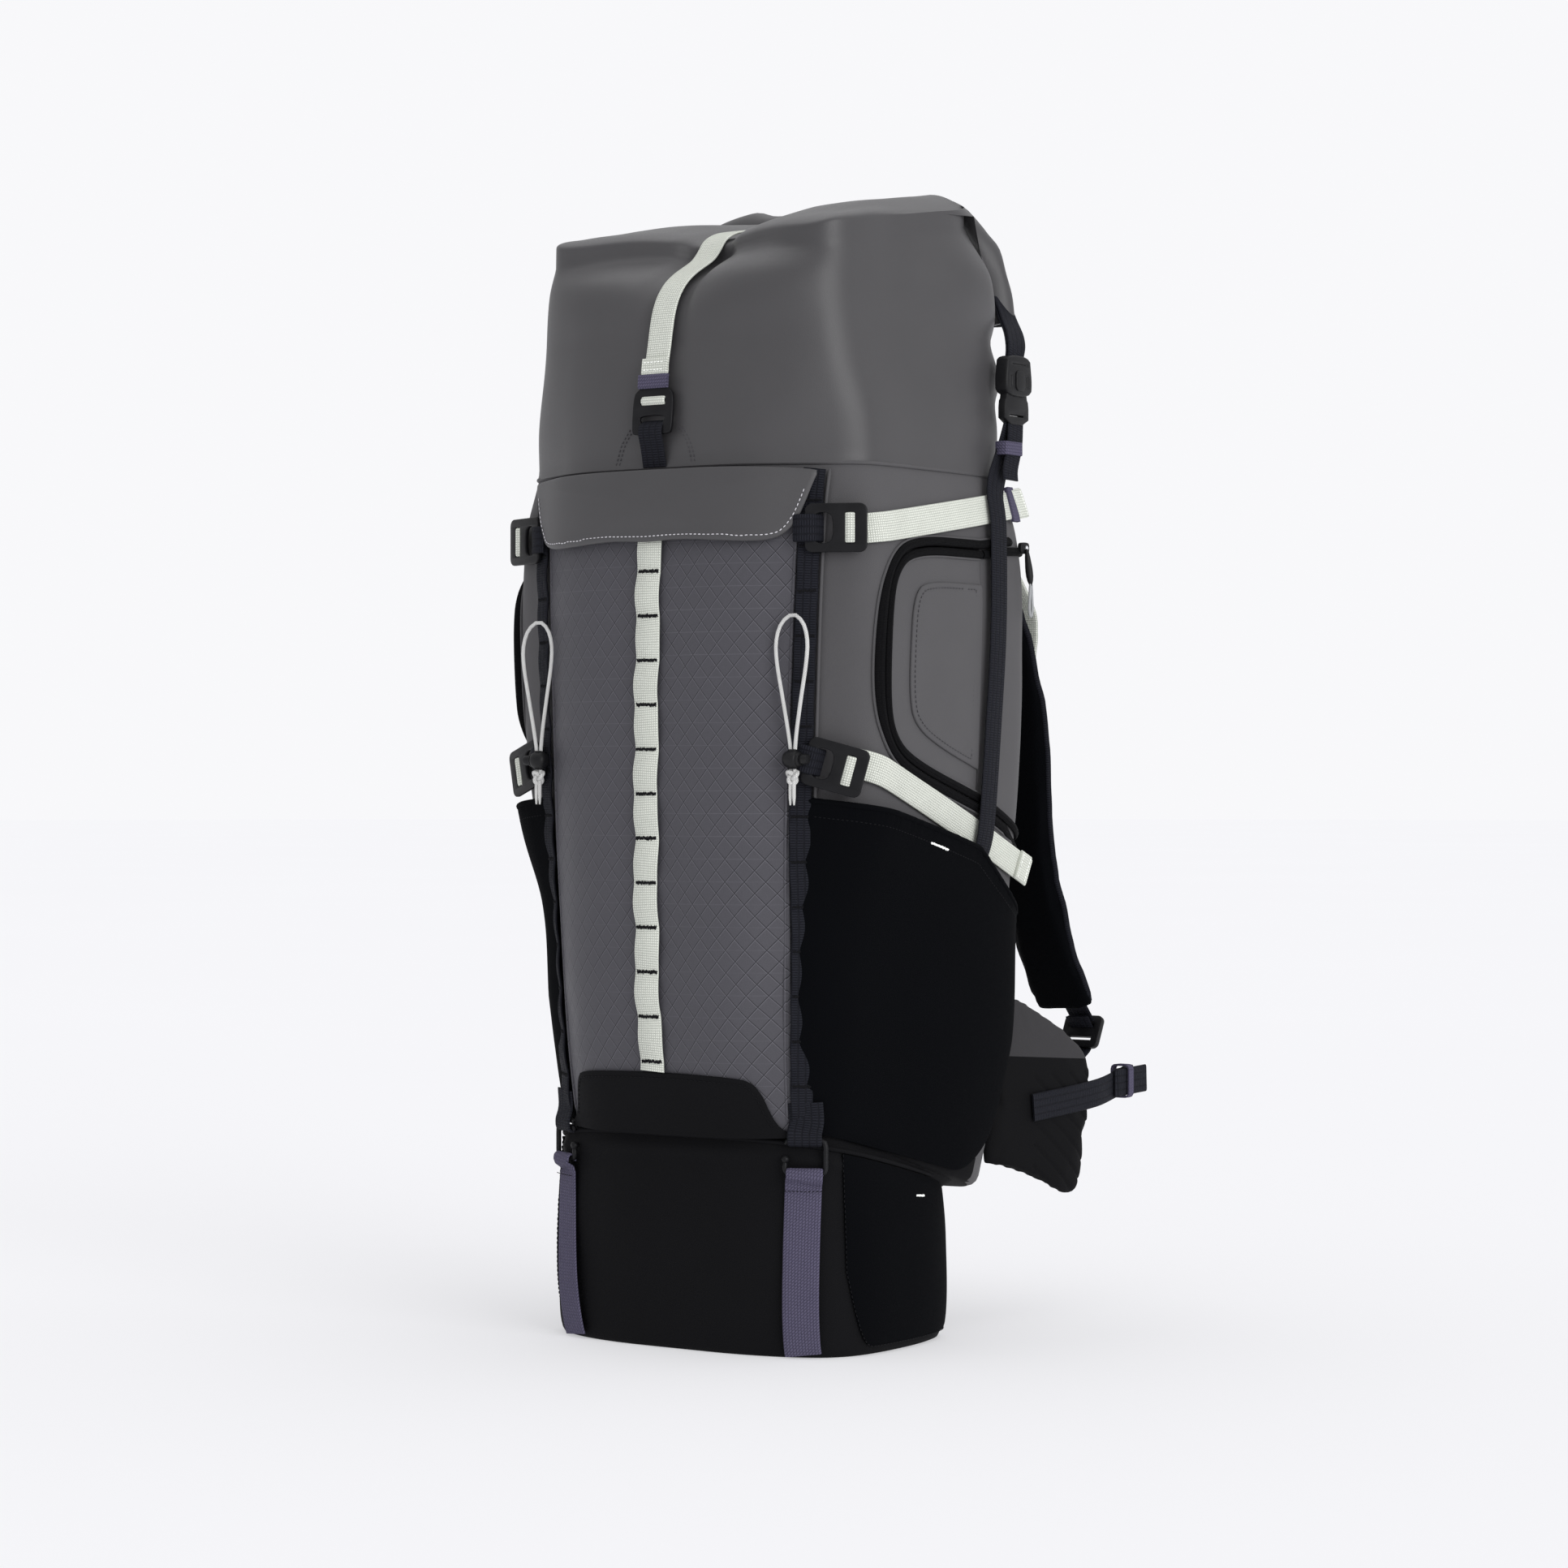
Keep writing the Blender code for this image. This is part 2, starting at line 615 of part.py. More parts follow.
def make_shoulder_strap(side, tag):
    route = [(0.052, 0.158, 0.528), (0.062, 0.175, 0.541), (0.073, 0.196, 0.518),
             (0.081, 0.213, 0.470), (0.086, 0.224, 0.410), (0.088, 0.229, 0.340),
             (0.094, 0.248, 0.272), (0.101, 0.274, 0.218)]
    path = smooth_route([(side * x, y, z) for x, y, z in route], 0.04)
    widths = [0.066 - 0.020 * i / (len(path) - 1) for i in range(len(path))]
    finish(strap(path, (1, 0, 0), widths, PAD_THICKNESS), "shoulder_strap_" + tag,
           black_fabric(), (side * 0.052, 0.158, 0.528))
    lifter = [(side * 0.088, 0.1255, 0.5900), (side * 0.088, 0.160, 0.5730),
              (side * 0.087, 0.229, 0.5080)]
    finish(strap(lifter, (1, 0, 0), WEBBING, WEBBING_THICKNESS), "load_lifter_" + tag,
           white_webbing())

    def place(local):
        return Vector((side * (0.1025 + local.x), 0.2845 + local.y + 0.5 * local.z,
                       0.200 + local.z))

    xs = (-0.0145, -0.0105, 0.0105, 0.0145)
    zs = (-0.011, -0.008, -0.003, 0.001, 0.006, 0.009)
    finish(cells(xs, (-0.0025, 0.0025), zs, place, {(1, 0, 1), (1, 0, 3)}),
           "strap_adjuster_" + tag, black_plastic())
    lower = [(side * 0.1020, 0.1305, 0.1320), (side * 0.1022, 0.180, 0.1440),
             (side * 0.1025, 0.230, 0.1640), (side * 0.1025, 0.2710, 0.1840)]
    finish(strap(lower, (1, 0, 0), WEBBING, WEBBING_THICKNESS), "adjuster_webbing_" + tag,
           black_webbing(), lower[0])


def make_hip_wing(side, tag):
    stations = [(0.1215, 0.133, 0.100, 0.236), (0.1290, 0.160, 0.094, 0.226),
                (0.1360, 0.190, 0.088, 0.208), (0.1390, 0.216, 0.084, 0.190),
                (0.1390, 0.228, 0.086, 0.180)]
    rings = []
    for x, y, low, high in stations:
        bevel = 0.004
        rings.append([(side * x, y, low), (side * (x + bevel), y, low - bevel),
                      (side * (x + PAD_THICKNESS - bevel), y, low - bevel),
                      (side * (x + PAD_THICKNESS), y, low),
                      (side * (x + PAD_THICKNESS), y, high),
                      (side * (x + PAD_THICKNESS - bevel), y, high + bevel),
                      (side * (x + bevel), y, high + bevel), (side * x, y, high)])
    finish(loft(rings), "hip_wing_" + tag, black_fabric(), (side * 0.1285, 0.131, 0.165))
    path = [(side * (x + PAD_THICKNESS + 0.0018), y, 0.155 + 0.10 * (y - 0.15))
            for x, y in ((0.1290, 0.158), (0.1360, 0.190), (0.1390, 0.216), (0.1385, 0.236),
                         (0.1320, 0.262), (0.1270, 0.286))]
    finish(strap(path, (0, 0, 1), WEBBING, WEBBING_THICKNESS), "hip_webbing_" + tag,
           black_webbing())


def make_bin_straps(side, tag):
    """The webbing down the bin's front corner, and the hook that hangs it on the body."""
    path = []
    across = []
    for z, out in ((0.1190, 0.0026), (0.070, 0.0024), (0.010, 0.0028)):
        x = 0.1005 - 0.002 * (0.119 - z) / 0.1
        path.append((side * x, bin_front_y(x, z) - out, z))
        slope = (bin_front_y(x + 0.008, z) - bin_front_y(x - 0.008, z)) / 0.016
        across.append((side, slope, 0))
    path.append((side * 0.0965, bin_front_y(0.0965, 0.012) + 0.0006, 0.0022))
    across.append(across[-1])
    finish(strap(path, across, BIN_WEBBING, WEBBING_THICKNESS), "bin_strap_" + tag,
           violet_webbing())
    along = Vector((1, 0.42, 0)).normalized()
    out = Vector((0.42, -1, 0)).normalized()

    def place(local):
        point = Vector((0.1000, -0.0905, 0.1345)) + along * local.x + out * local.y
        return Vector((side * point.x, point.y, point.z + local.z))

    xs = (-0.0165, -0.0130, 0.0130, 0.0165)
    zs = (-0.0140, -0.0100, -0.0045, -0.0005, 0.0080, 0.0125)
    finish(cells(xs, (0.0, 0.0026), zs, place, {(1, 0, 1), (1, 0, 3)}), "bin_hook_" + tag,
           black_metal())


def main():
    start_scene()
    make_main_shell()
    make_roll_top()
    make_bottom_bin()
    make_front()
    make_centre_closure()
    make_back()
    for side, tag in ((1, "r"), (-1, "l")):
        make_edge_webbing(side, tag)
        make_compression_straps(side, tag)
        make_side_strap(side, tag)
        make_buckle(side, tag)
        make_side_door(side, tag)
        make_zip_slider(side, tag)
        make_side_pocket(side, tag)
        make_elastic_loop(side, tag)
        make_shoulder_strap(side, tag)
        make_hip_wing(side, tag)
        make_bin_straps(side, tag)


main()
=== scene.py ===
"""The looks of a roll-top hiking backpack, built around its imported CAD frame.

Metres, +Z up, -Y the pack's front, +X its right as seen from the front.
"""

import math
import random

import bmesh
import bpy
import numpy as np
from mathutils import Matrix, Vector, noise
from mathutils.bvhtree import BVHTree


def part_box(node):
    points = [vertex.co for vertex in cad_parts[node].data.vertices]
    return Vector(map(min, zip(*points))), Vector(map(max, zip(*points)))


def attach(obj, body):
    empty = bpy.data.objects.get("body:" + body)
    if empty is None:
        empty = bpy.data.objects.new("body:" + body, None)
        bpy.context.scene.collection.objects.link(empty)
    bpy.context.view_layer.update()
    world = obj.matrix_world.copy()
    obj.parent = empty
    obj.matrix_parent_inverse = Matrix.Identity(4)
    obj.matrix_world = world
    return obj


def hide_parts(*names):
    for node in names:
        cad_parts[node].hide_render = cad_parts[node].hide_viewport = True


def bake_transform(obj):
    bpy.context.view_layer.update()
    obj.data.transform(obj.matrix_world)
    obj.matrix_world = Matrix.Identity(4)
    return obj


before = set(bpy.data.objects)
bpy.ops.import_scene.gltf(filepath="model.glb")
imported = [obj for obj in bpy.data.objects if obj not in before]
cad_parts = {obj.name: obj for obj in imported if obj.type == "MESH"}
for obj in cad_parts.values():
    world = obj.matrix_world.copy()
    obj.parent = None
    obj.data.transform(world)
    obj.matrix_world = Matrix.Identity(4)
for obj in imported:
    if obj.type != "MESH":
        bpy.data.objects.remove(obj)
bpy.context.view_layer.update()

SIDES = ((1, "r"), (-1, "l"))

# Camera: a front three-quarter view from the pack's right, level with its middle
CAMERA_PLACE = (1.5933, -2.2354, 0.3846)
CAMERA_TURN = 35.0
CAMERA_LENS = 90.0

# Sizes shared by many pieces, metres
WEBBING = 0.020
EDGE_WEBBING = 0.015
BIN_WEBBING = 0.025
WEBBING_THICKNESS = 0.0016
CORD_RADIUS = 0.0013
SEAM_HEIGHT = 0.600
SHELL = 0.004
ZIP_BAND = 0.0062
WING_SEAM = 0.2010
WING_SEAM_SLOPE = 0.07
THREAD = 0.00036

# Half-outlines in plan, front centre to back centre, as (x, y) after a height. A height of
# None is on the slope given to Skin.
BODY_PLANS = (
    (None, (0, -.098), (.055, -.098), (.088, -.080), (.110, -.066), (.117, -.045),
     (.135, .050), (.131, .101), (.092, .107), (0, .106)),
    (0.200, (0, -.110), (.058, -.111), (.094, -.083), (.113, -.069), (.121, -.045),
     (.144, .058), (.143, .118), (.097, .120), (0, .119)),
    (0.300, (0, -.116), (.060, -.117), (.101, -.086), (.118, -.071), (.126, -.045),
     (.148, .060), (.146, .121), (.097, .122), (0, .121)),
    (0.352, (0, -.116), (.061, -.117), (.104, -.087), (.138, -.072), (.146, -.045),
     (.153, .068), (.149, .124), (.098, .122), (0, .122)),
    (0.420, (0, -.116), (.062, -.117), (.107, -.087), (.149, -.072), (.152, -.045),
     (.1555, .071), (.153, .127), (.100, .126), (0, .126)),
    (0.560, (0, -.112), (.063, -.113), (.111, -.086), (.149, -.072), (.152, -.045),
     (.1555, .071), (.150, .122), (.100, .122), (0, .122)),
    (SEAM_HEIGHT, (0, -.110), (.062, -.111), (.108, -.086), (.140, -.067), (.144, -.040),
     (.147, .060), (.139, .112), (.095, .114), (0, .114)),
)
COLLAR_PLANS = (
    (0.5985, (0, -.111), (.063, -.112), (.109, -.087), (.139, -.068), (.144, -.040),
     (.148, .060), (.140, .113), (.095, .115), (0, .115)),
    (0.630, (0, -.109), (.062, -.112), (.110, -.090), (.138, -.070), (.142, -.040),
     (.149, .060), (.141, .113), (.095, .115), (0, .115)),
    (0.680, (0, -.103), (.060, -.108), (.104, -.092), (.128, -.074), (.133, -.040),
     (.148, .060), (.142, .111), (.095, .110), (0, .109)),
    (0.725, (0, -.086), (.056, -.098), (.102, -.090), (.1235, -.074), (.1285, -.040),
     (.143, .057), (.136, .101), (.090, .101), (0, .100)),
    (None, (0, -.043), (.050, -.062), (.101, -.079), (.121, -.071), (.127, -.037),
     (.127, .045), (.115, .082), (.080, .085), (0, .085)),
)
BIN_PLANS = (
    (0.000, (0, -.092), (.051, -.092), (.093, -.082), (.119, -.065), (.129, -.031),
     (.127, .037), (.112, .073), (.081, .075), (0, .075)),
    (0.010, (0, -.094), (.052, -.094), (.095, -.083), (.121, -.066), (.131, -.032),
     (.129, .038), (.113, .074), (.082, .076), (0, .076)),
    (0.070, (0, -.095), (.053, -.095), (.095, -.084), (.121, -.067), (.131, -.032),
     (.129, .038), (.113, .074), (.082, .076), (0, .076)),
    (None, (0, -.093), (.053, -.093), (.092, -.081), (.117, -.065), (.127, -.033),
     (.126, .037), (.112, .072), (.081, .075), (0, .075)),
)
DOOR = ((.0520, .3720), (.0520, .5455), (-.0300, .5455), (-.0540, .5295), (-.0620, .5000),
        (-.0620, .4400), (-.0520, .4120), (-.0260, .3950))
DOOR_HINGE_Y = 0.0526


# Outlines and routes

def chaikin(points, rounds, closed=True):
    """Rounds a line's corners by cutting them."""
    points = np.asarray(points, float)
    for _ in range(rounds):
        a, b = (points, np.roll(points, -1, 0)) if closed else (points[:-1], points[1:])
        cut = np.stack([0.75 * a + 0.25 * b, 0.25 * a + 0.75 * b], 1)
        cut = cut.reshape(-1, points.shape[1])
        points = cut if closed else np.vstack([points[:1], cut, points[-1:]])
    return points


def resample(points, spacing, closed=False):
    """The same line with points at an even spacing."""
    points = np.asarray(points, float)
    if closed:
        points = np.vstack([points, points[:1]])
    reach = running(points)
    at = np.linspace(0, reach[-1], max(2, round(reach[-1] / spacing)) + 1)
    line = np.stack([np.interp(at, reach, column) for column in points.T], 1)
    return line[:-1] if closed else line


def running(points):
    """The distance along a line at each of its points."""
    return np.concatenate([[0], np.cumsum(np.linalg.norm(np.diff(points, axis=0), axis=1))])


def unit(rows):
    """Each row as a vector of length 1."""
    return rows / np.linalg.norm(rows, axis=1)[:, None]


def from_gap(line):
    """A closed line's points in order from the far side of its widest gap."""
    start = int(np.argmax(np.linalg.norm(np.diff(line, axis=0), axis=1))) + 1
    return np.roll(line, -start, 0)


def outward(points, closed=True):
    """Unit normals on the right-hand side of a flat line, which is outside if it turns left."""
    ahead = np.gradient(points, axis=0)
    if closed:
        ahead = np.roll(points, -1, 0) - np.roll(points, 1, 0)
    side = np.stack([ahead[:, 1], -ahead[:, 0]], 1)
    return unit(side)


def turned_left(points):
    """A closed outline in the order that puts its outside on the right."""
    after = np.roll(points, -1, 0)
    area = np.sum(points[:, 0] * after[:, 1] - after[:, 0] * points[:, 1])
    return points if area > 0 else points[::-1]


def offset(points, distance, closed=True):
    return points + outward(points, closed) * distance


def rounded_box(low_u, high_u, low_v, high_v, radius):
    """A rectangle with round corners."""
    steps = 4
    points = []
    corners = ((high_u, high_v, 0), (low_u, high_v, 1), (low_u, low_v, 2), (high_u, low_v, 3))
    for u, v, quarter in corners:
        centre = (u - radius if u == high_u else u + radius,
                  v - radius if v == high_v else v + radius)
        for i in range(steps + 1):
            angle = math.pi / 2 * (quarter + i / steps)
            points.append((centre[0] + radius * math.cos(angle),
                           centre[1] + radius * math.sin(angle)))
    return points


def route(points, spacing=0.004):
    """A smooth curve through a few points, with points at an even spacing."""
    knots = np.asarray(points, float)
    knots = np.vstack([2 * knots[0] - knots[1], knots, 2 * knots[-1] - knots[-2]])
    line = []
    for a, b, c, d in zip(knots, knots[1:], knots[2:], knots[3:]):
        for t in np.linspace(0, 1, 16, endpoint=False):
            line.append(0.5 * (2 * b + (c - a) * t + (2 * a - 5 * b + 4 * c - d) * t ** 2
                               + (3 * b - a - 3 * c + d) * t ** 3))
    line.append(knots[-2])
    return resample(line, spacing)


def crumple(points, size, depth, seed=0.0):
    """A slow, even unevenness for each point, up to about the depth either way."""
    shift = Vector((seed, 2.3 * seed, -1.7 * seed))
    flat = np.asarray(points, float).reshape(-1, 3)
    waves = [noise.noise(Vector(p) / size + shift) for p in flat]
    return depth * np.array(waves).reshape(np.asarray(points).shape[:-1])


# The pack's skins, which every flat piece lies on

def spline(controls, t):
    """Points on a half-outline's quadratic B-spline; t counts its control points."""
    mirror = np.array([-1.0, 1.0])
    row = np.vstack([controls[1] * mirror, controls, controls[-2] * mirror])
    near = np.clip(np.rint(t).astype(int), 0, len(controls) - 1)
    s = (t - near + 0.5)[..., None]
    return (0.5 * (1 - s) ** 2 * row[near] + (0.5 + s * (1 - s)) * row[near + 1]
            + 0.5 * s ** 2 * row[near + 2])


class Chart:
    """Values on an even grid, read between its points."""

    def __init__(self, us, vs, values):
        self.start = us[0], vs[0]
        self.step = us[1] - us[0], vs[1] - vs[0]
        self.values = values

    def __call__(self, u, v):
        rows, columns = self.values.shape
        i = np.clip((u - self.start[0]) / self.step[0], 0, rows - 1.001)
        j = np.clip((v - self.start[1]) / self.step[1], 0, columns - 1.001)
        a, b = i.astype(int), j.astype(int)
        i, j = i - a, j - b
        low = self.values[a, b] * (1 - j) + self.values[a, b + 1] * j
        high = self.values[a + 1, b] * (1 - j) + self.values[a + 1, b + 1] * j
        return low * (1 - i) + high * i


class Skin:
    """A smooth skin through stated half-outlines."""

    NUDGE = 0.004

    def __init__(self, plans, slope):
        self.heights = [plan[0] for plan in plans]
        self.controls = [np.array(plan[1:], float) for plan in plans]
        self.slope = slope
        zs = np.arange(-0.010, 0.800, 0.004)
        xs = np.arange(0.0, 0.164, 0.002)
        ys = np.arange(-0.110, 0.130, 0.002)
        front, side = [], []
        for z in zs:
            nose = self.plan(np.linspace(0, 4.2, 90), np.full(90, z))
            flank = self.plan(np.linspace(2.4, 6.6, 120), np.full(120, z))
            front.append(np.interp(xs, nose[:, 0], nose[:, 1]))
            side.append(np.interp(ys, flank[:, 1], flank[:, 0]))
        self.front_y = Chart(zs, xs, np.array(front))
        self.side_x = Chart(zs, ys, np.array(side))

    def levels(self, rows):
        return np.array([self.slope(row[..., 1]) if height is None
                         else np.full(row.shape[:-1], height)
                         for height, row in zip(self.heights, rows)])

    def plan(self, t, z):
        """x and y at t round the half-outline and height z."""
        rows = np.array([spline(c, t) for c in self.controls])
        levels = self.levels(rows)
        rise = np.diff(rows, axis=0) / np.diff(levels, axis=0)[..., None]
        slopes = np.concatenate([rise[:1], (rise[1:] + rise[:-1]) / 2, rise[-1:]])
        z = np.clip(z, levels[0], levels[-1])
        result = np.zeros(rows.shape[1:])
        for k in range(len(rows) - 1):
            span = levels[k + 1] - levels[k]
            s = np.clip((z - levels[k]) / span, 0, 1)[..., None]
            span = span[..., None]
            piece = ((1 + 2 * s) * (1 - s) ** 2 * rows[k] + s * (1 - s) ** 2 * span * slopes[k]
                     + s ** 2 * (3 - 2 * s) * rows[k + 1] - s ** 2 * (1 - s) * span * slopes[k + 1])
            inside = (z >= levels[k]) & (z <= levels[k + 1])
            result[inside] = piece[inside]
        return result

    def wrap(self, side):
        """Places (t, z) points of one half of the skin, moved out square to it."""
        def place(t, z, proud=0.0):
            t, z = np.broadcast_arrays(np.asarray(t, float), np.asarray(z, float))
            here = self.plan(t, z)
            ahead = self.plan(t + 0.05, z) - self.plan(t - 0.05, z)
            normal = np.stack([ahead[..., 1], -ahead[..., 0]], -1)
            normal /= np.maximum(np.linalg.norm(normal, axis=-1), 1e-9)[..., None]
            spot = here + normal * np.asarray(proud)[..., None]
            return np.stack([side * spot[..., 0], spot[..., 1], z], -1)
        return place

    def front(self, x, z, proud=0.0):
        """Places (x, z) points on the front, moved out square to it."""
        x, z = np.broadcast_arrays(np.asarray(x, float), np.asarray(z, float))
        n = self.NUDGE
        across = (self.front_y(z, abs(x + n)) - self.front_y(z, abs(x - n))) / (2 * n)
        up = (self.front_y(z + n, abs(x)) - self.front_y(z - n, abs(x))) / (2 * n)
        normal = np.stack([across, -np.ones_like(across), up], -1)
        normal /= np.linalg.norm(normal, axis=-1)[..., None]
        spot = np.stack([x, self.front_y(z, abs(x)), z], -1)
        return spot + normal * np.asarray(proud)[..., None]

    def flank(self, side):
        """Places (y, z) points on one side, moved out square to it."""
        def place(y, z, proud=0.0):
            y, z = np.broadcast_arrays(np.asarray(y, float), np.asarray(z, float))
            n = self.NUDGE
            along = (self.side_x(z, y + n) - self.side_x(z, y - n)) / (2 * n)
            up = (self.side_x(z + n, y) - self.side_x(z - n, y)) / (2 * n)
            normal = np.stack([np.ones_like(along), -along, -up], -1)
            normal /= np.linalg.norm(normal, axis=-1)[..., None]
            spot = np.stack([self.side_x(z, y), y, z], -1)
            spot = spot + normal * np.asarray(proud)[..., None]
            return spot * np.array([side, 1.0, 1.0])
        return place


def floor_height(y):
    return 0.126 - 0.24 * y


def top_height(y):
    return 0.757 + 0.19 * y


def rim_height(y):
    return floor_height(y) - 0.0012


BODY = Skin(BODY_PLANS, floor_height)
COLLAR = Skin(COLLAR_PLANS, top_height)
BIN = Skin(BIN_PLANS, rim_height)


# Materials

class Look:
    """A node material being built; each call adds a node and gives back its output."""

    def __init__(self, name, roughness, specular, metallic=0.0, sheen=0.0):
        self.material = bpy.data.materials.new(name)
        self.material.use_nodes = True
        self.tree = self.material.node_tree
        self.shader = self.tree.nodes["Principled BSDF"]
        self.set("Roughness", roughness)
        self.set("Specular IOR Level", specular)
        self.set("Metallic", metallic)
        self.set("Sheen Weight", sheen)

    def set(self, name, value):
        if isinstance(value, bpy.types.NodeSocket):
            self.tree.links.new(value, self.shader.inputs[name])
        else:
            self.shader.inputs[name].default_value = value

    def node(self, kind, inputs, output=0, **settings):
        made = self.tree.nodes.new("ShaderNode" + kind)
        for key, value in settings.items():
            setattr(made, key, value)
        for key, value in inputs.items():
            if isinstance(value, bpy.types.NodeSocket):
                self.tree.links.new(value, made.inputs[key])
            else:
                made.inputs[key].default_value = value
        return made.outputs[output]

    def place(self):
        return self.node("TexCoord", {}, "Object")

    def weave_place(self):
        return self.node("UVMap", {}, uv_map="weave")

    def parts(self, vector):
        split = self.tree.nodes.new("ShaderNodeSeparateXYZ")
        self.tree.links.new(vector, split.inputs[0])
        return split.outputs

    def math(self, operation, a, b=0.0):
        return self.node("Math", {0: a, 1: b}, operation=operation)

    def noise(self, vector, scale, detail=3.0):
        return self.node("TexNoise", {"Vector": vector, "Scale": scale, "Detail": detail})

    def lines(self, value, pitch, width):
        """1 on thin lines a pitch apart, falling to 0 at their width."""
        fold = self.math("PINGPONG", self.math("DIVIDE", value, pitch), 0.5)
        return self.node("MapRange", {"Value": fold, "From Min": 0.0,
                                      "From Max": width / pitch / 2,
                                      "To Min": 1.0, "To Max": 0.0},
                         interpolation_type="SMOOTHSTEP")

    def ramp(self, value, low, high):
        return self.node("MapRange", {"Value": value, "From Min": 0.3, "From Max": 0.7,
                                      "To Min": low, "To Max": high})

    def colour(self, factor, a, b):
        return self.node("Mix", {0: factor, 6: (*a, 1.0) if isinstance(a, tuple) else a,
                                 7: (*b, 1.0) if isinstance(b, tuple) else b}, 2,
                         data_type="RGBA")

    def bump(self, height, distance):
        self.set("Normal", self.node("Bump", {"Height": height, "Distance": distance,
                                              "Strength": 1.0}))


def linear(red, green, blue):
    """A colour from the 0-255 values it has on a screen."""
    return tuple((c / 255 / 12.92) if c <= 10 else ((c / 255 + 0.055) / 1.055) ** 2.4
                 for c in (red, green, blue))


def shaded(colour, share):
    return tuple(c * share for c in colour)


def cloth(name, colour, roughness, specular, sheen, pitch, depth, slant=1.0):
    """Plain or twill cloth: fine threads, speckle and slow mottling."""
    look = Look(name, roughness, specular, sheen=sheen)
    place = look.place()
    x, y, z = look.parts(place)
    round_it = look.math("ADD", x, y)
    threads = look.lines(look.math("ADD", round_it, look.math("MULTIPLY", z, slant)), pitch,
                         pitch)
    cross = look.lines(look.math("SUBTRACT", look.math("MULTIPLY", round_it, slant), z), pitch,
                       pitch)
    weave = look.math("MULTIPLY", threads, cross)
    speckle = look.noise(place, 1400.0, 2.0)
    mottle = look.noise(place, 22.0, 4.0)
    base = look.colour(look.ramp(mottle, 0.0, 1.0), shaded(colour, 0.93), shaded(colour, 1.07))
    grain = look.math("ADD", look.math("MULTIPLY", weave, 0.5), speckle)
    look.set("Base Color", look.colour(look.ramp(grain, 0.15, 0.55), shaded(colour, 0.84), base))
    look.set("Roughness", look.ramp(speckle, roughness - 0.06, roughness + 0.06))
    look.bump(grain, depth)
    return look.material


def two_tone(name, lower, upper, seam):
    """Black cloth with grey cloth above a slanting seam."""
    look = Look(name, 0.72, 0.08)
    place = look.place()
    _, y, z = look.parts(place)
    height = look.math("ADD", z, look.math("MULTIPLY", y, WING_SEAM_SLOPE))
    above = look.math("GREATER_THAN", height, seam)
    speckle = look.noise(place, 1300.0, 2.0)
    dark = look.colour(look.ramp(speckle, 0.0, 0.5), shaded(lower, 0.8), lower)
    pale = look.colour(look.ramp(speckle, 0.0, 0.5), shaded(upper, 0.8), upper)
    look.set("Base Color", look.colour(above, dark, pale))
    look.set("Roughness", look.ramp(speckle, 0.66, 0.78))
    look.bump(speckle, 0.00012)
    return look.material


RIPSTOP_PITCH = 0.0152
RIPSTOP_LINE = 0.0008
RIPSTOP_LEVEL_LINE = 0.0006
# How far the pale painted highlight sits beside each slanting thread line
RIPSTOP_HIGHLIGHT_SHIFT = 0.0009


def ripstop(name, colour):
    """Grey cloth with a net of crossed ripstop threads, each drawn as a dark line of painted shade
    with a pale painted highlight beside it, and fine, paler level lines.
    """
    look = Look(name, 0.55, 0.25, sheen=0.05)
    place = look.place()
    x, _, z = look.parts(place)
    wander = look.math("MULTIPLY", look.math("SUBTRACT", look.noise(place, 9.0), 0.5), 0.004)
    x = look.math("ADD", x, wander)
    steep = look.math("MULTIPLY", x, 1.25)
    rising = look.lines(look.math("ADD", z, steep), RIPSTOP_PITCH, RIPSTOP_LINE)
    falling = look.lines(look.math("SUBTRACT", z, steep), RIPSTOP_PITCH, RIPSTOP_LINE)
    level = look.lines(z, RIPSTOP_PITCH, RIPSTOP_LEVEL_LINE)
    patchy = look.ramp(look.noise(place, 14.0), 0.0, 1.0)
    level = look.math("MULTIPLY", level, look.math("MULTIPLY", patchy, 0.75))
    net = look.math("MAXIMUM", rising, falling)
    strength = look.ramp(look.noise(place, 30.0), 0.45, 1.0)
    # Painted shade along each slanting thread line, patchy with the strength noise
    dark = look.math("MULTIPLY", net, strength)
    # Pale lines just beside the slanting thread lines, at twice the colour: a painted highlight on
    # the threads
    painted_highlight = look.math("MAXIMUM", *[
        look.lines(look.math("ADD", look.math(way, z, steep), RIPSTOP_HIGHLIGHT_SHIFT), RIPSTOP_PITCH,
                   RIPSTOP_LINE) for way in ("SUBTRACT", "ADD")])
    speckle = look.noise(place, 1300.0, 2.0)
    mottle = look.noise(place, 18.0, 4.0)
    base = look.colour(look.ramp(mottle, 0.0, 1.0), shaded(colour, 0.92), shaded(colour, 1.08))
    base = look.colour(look.ramp(speckle, 0.0, 0.5), shaded(colour, 0.85), base)
    base = look.colour(look.math("MULTIPLY", painted_highlight, 0.75), base, shaded(colour, 2.0))
    base = look.colour(level, base, shaded(colour, 1.6))
    # The thread lines darken towards a quarter of the colour: painted shade
    look.set("Base Color", look.colour(look.math("MULTIPLY", dark, 0.85), base,
                                       shaded(colour, 0.25)))
    look.set("Roughness", look.ramp(mottle, 0.48, 0.60))
    look.bump(look.math("SUBTRACT", look.math("MULTIPLY", speckle, 0.3), net), 0.0004)
    return look.material


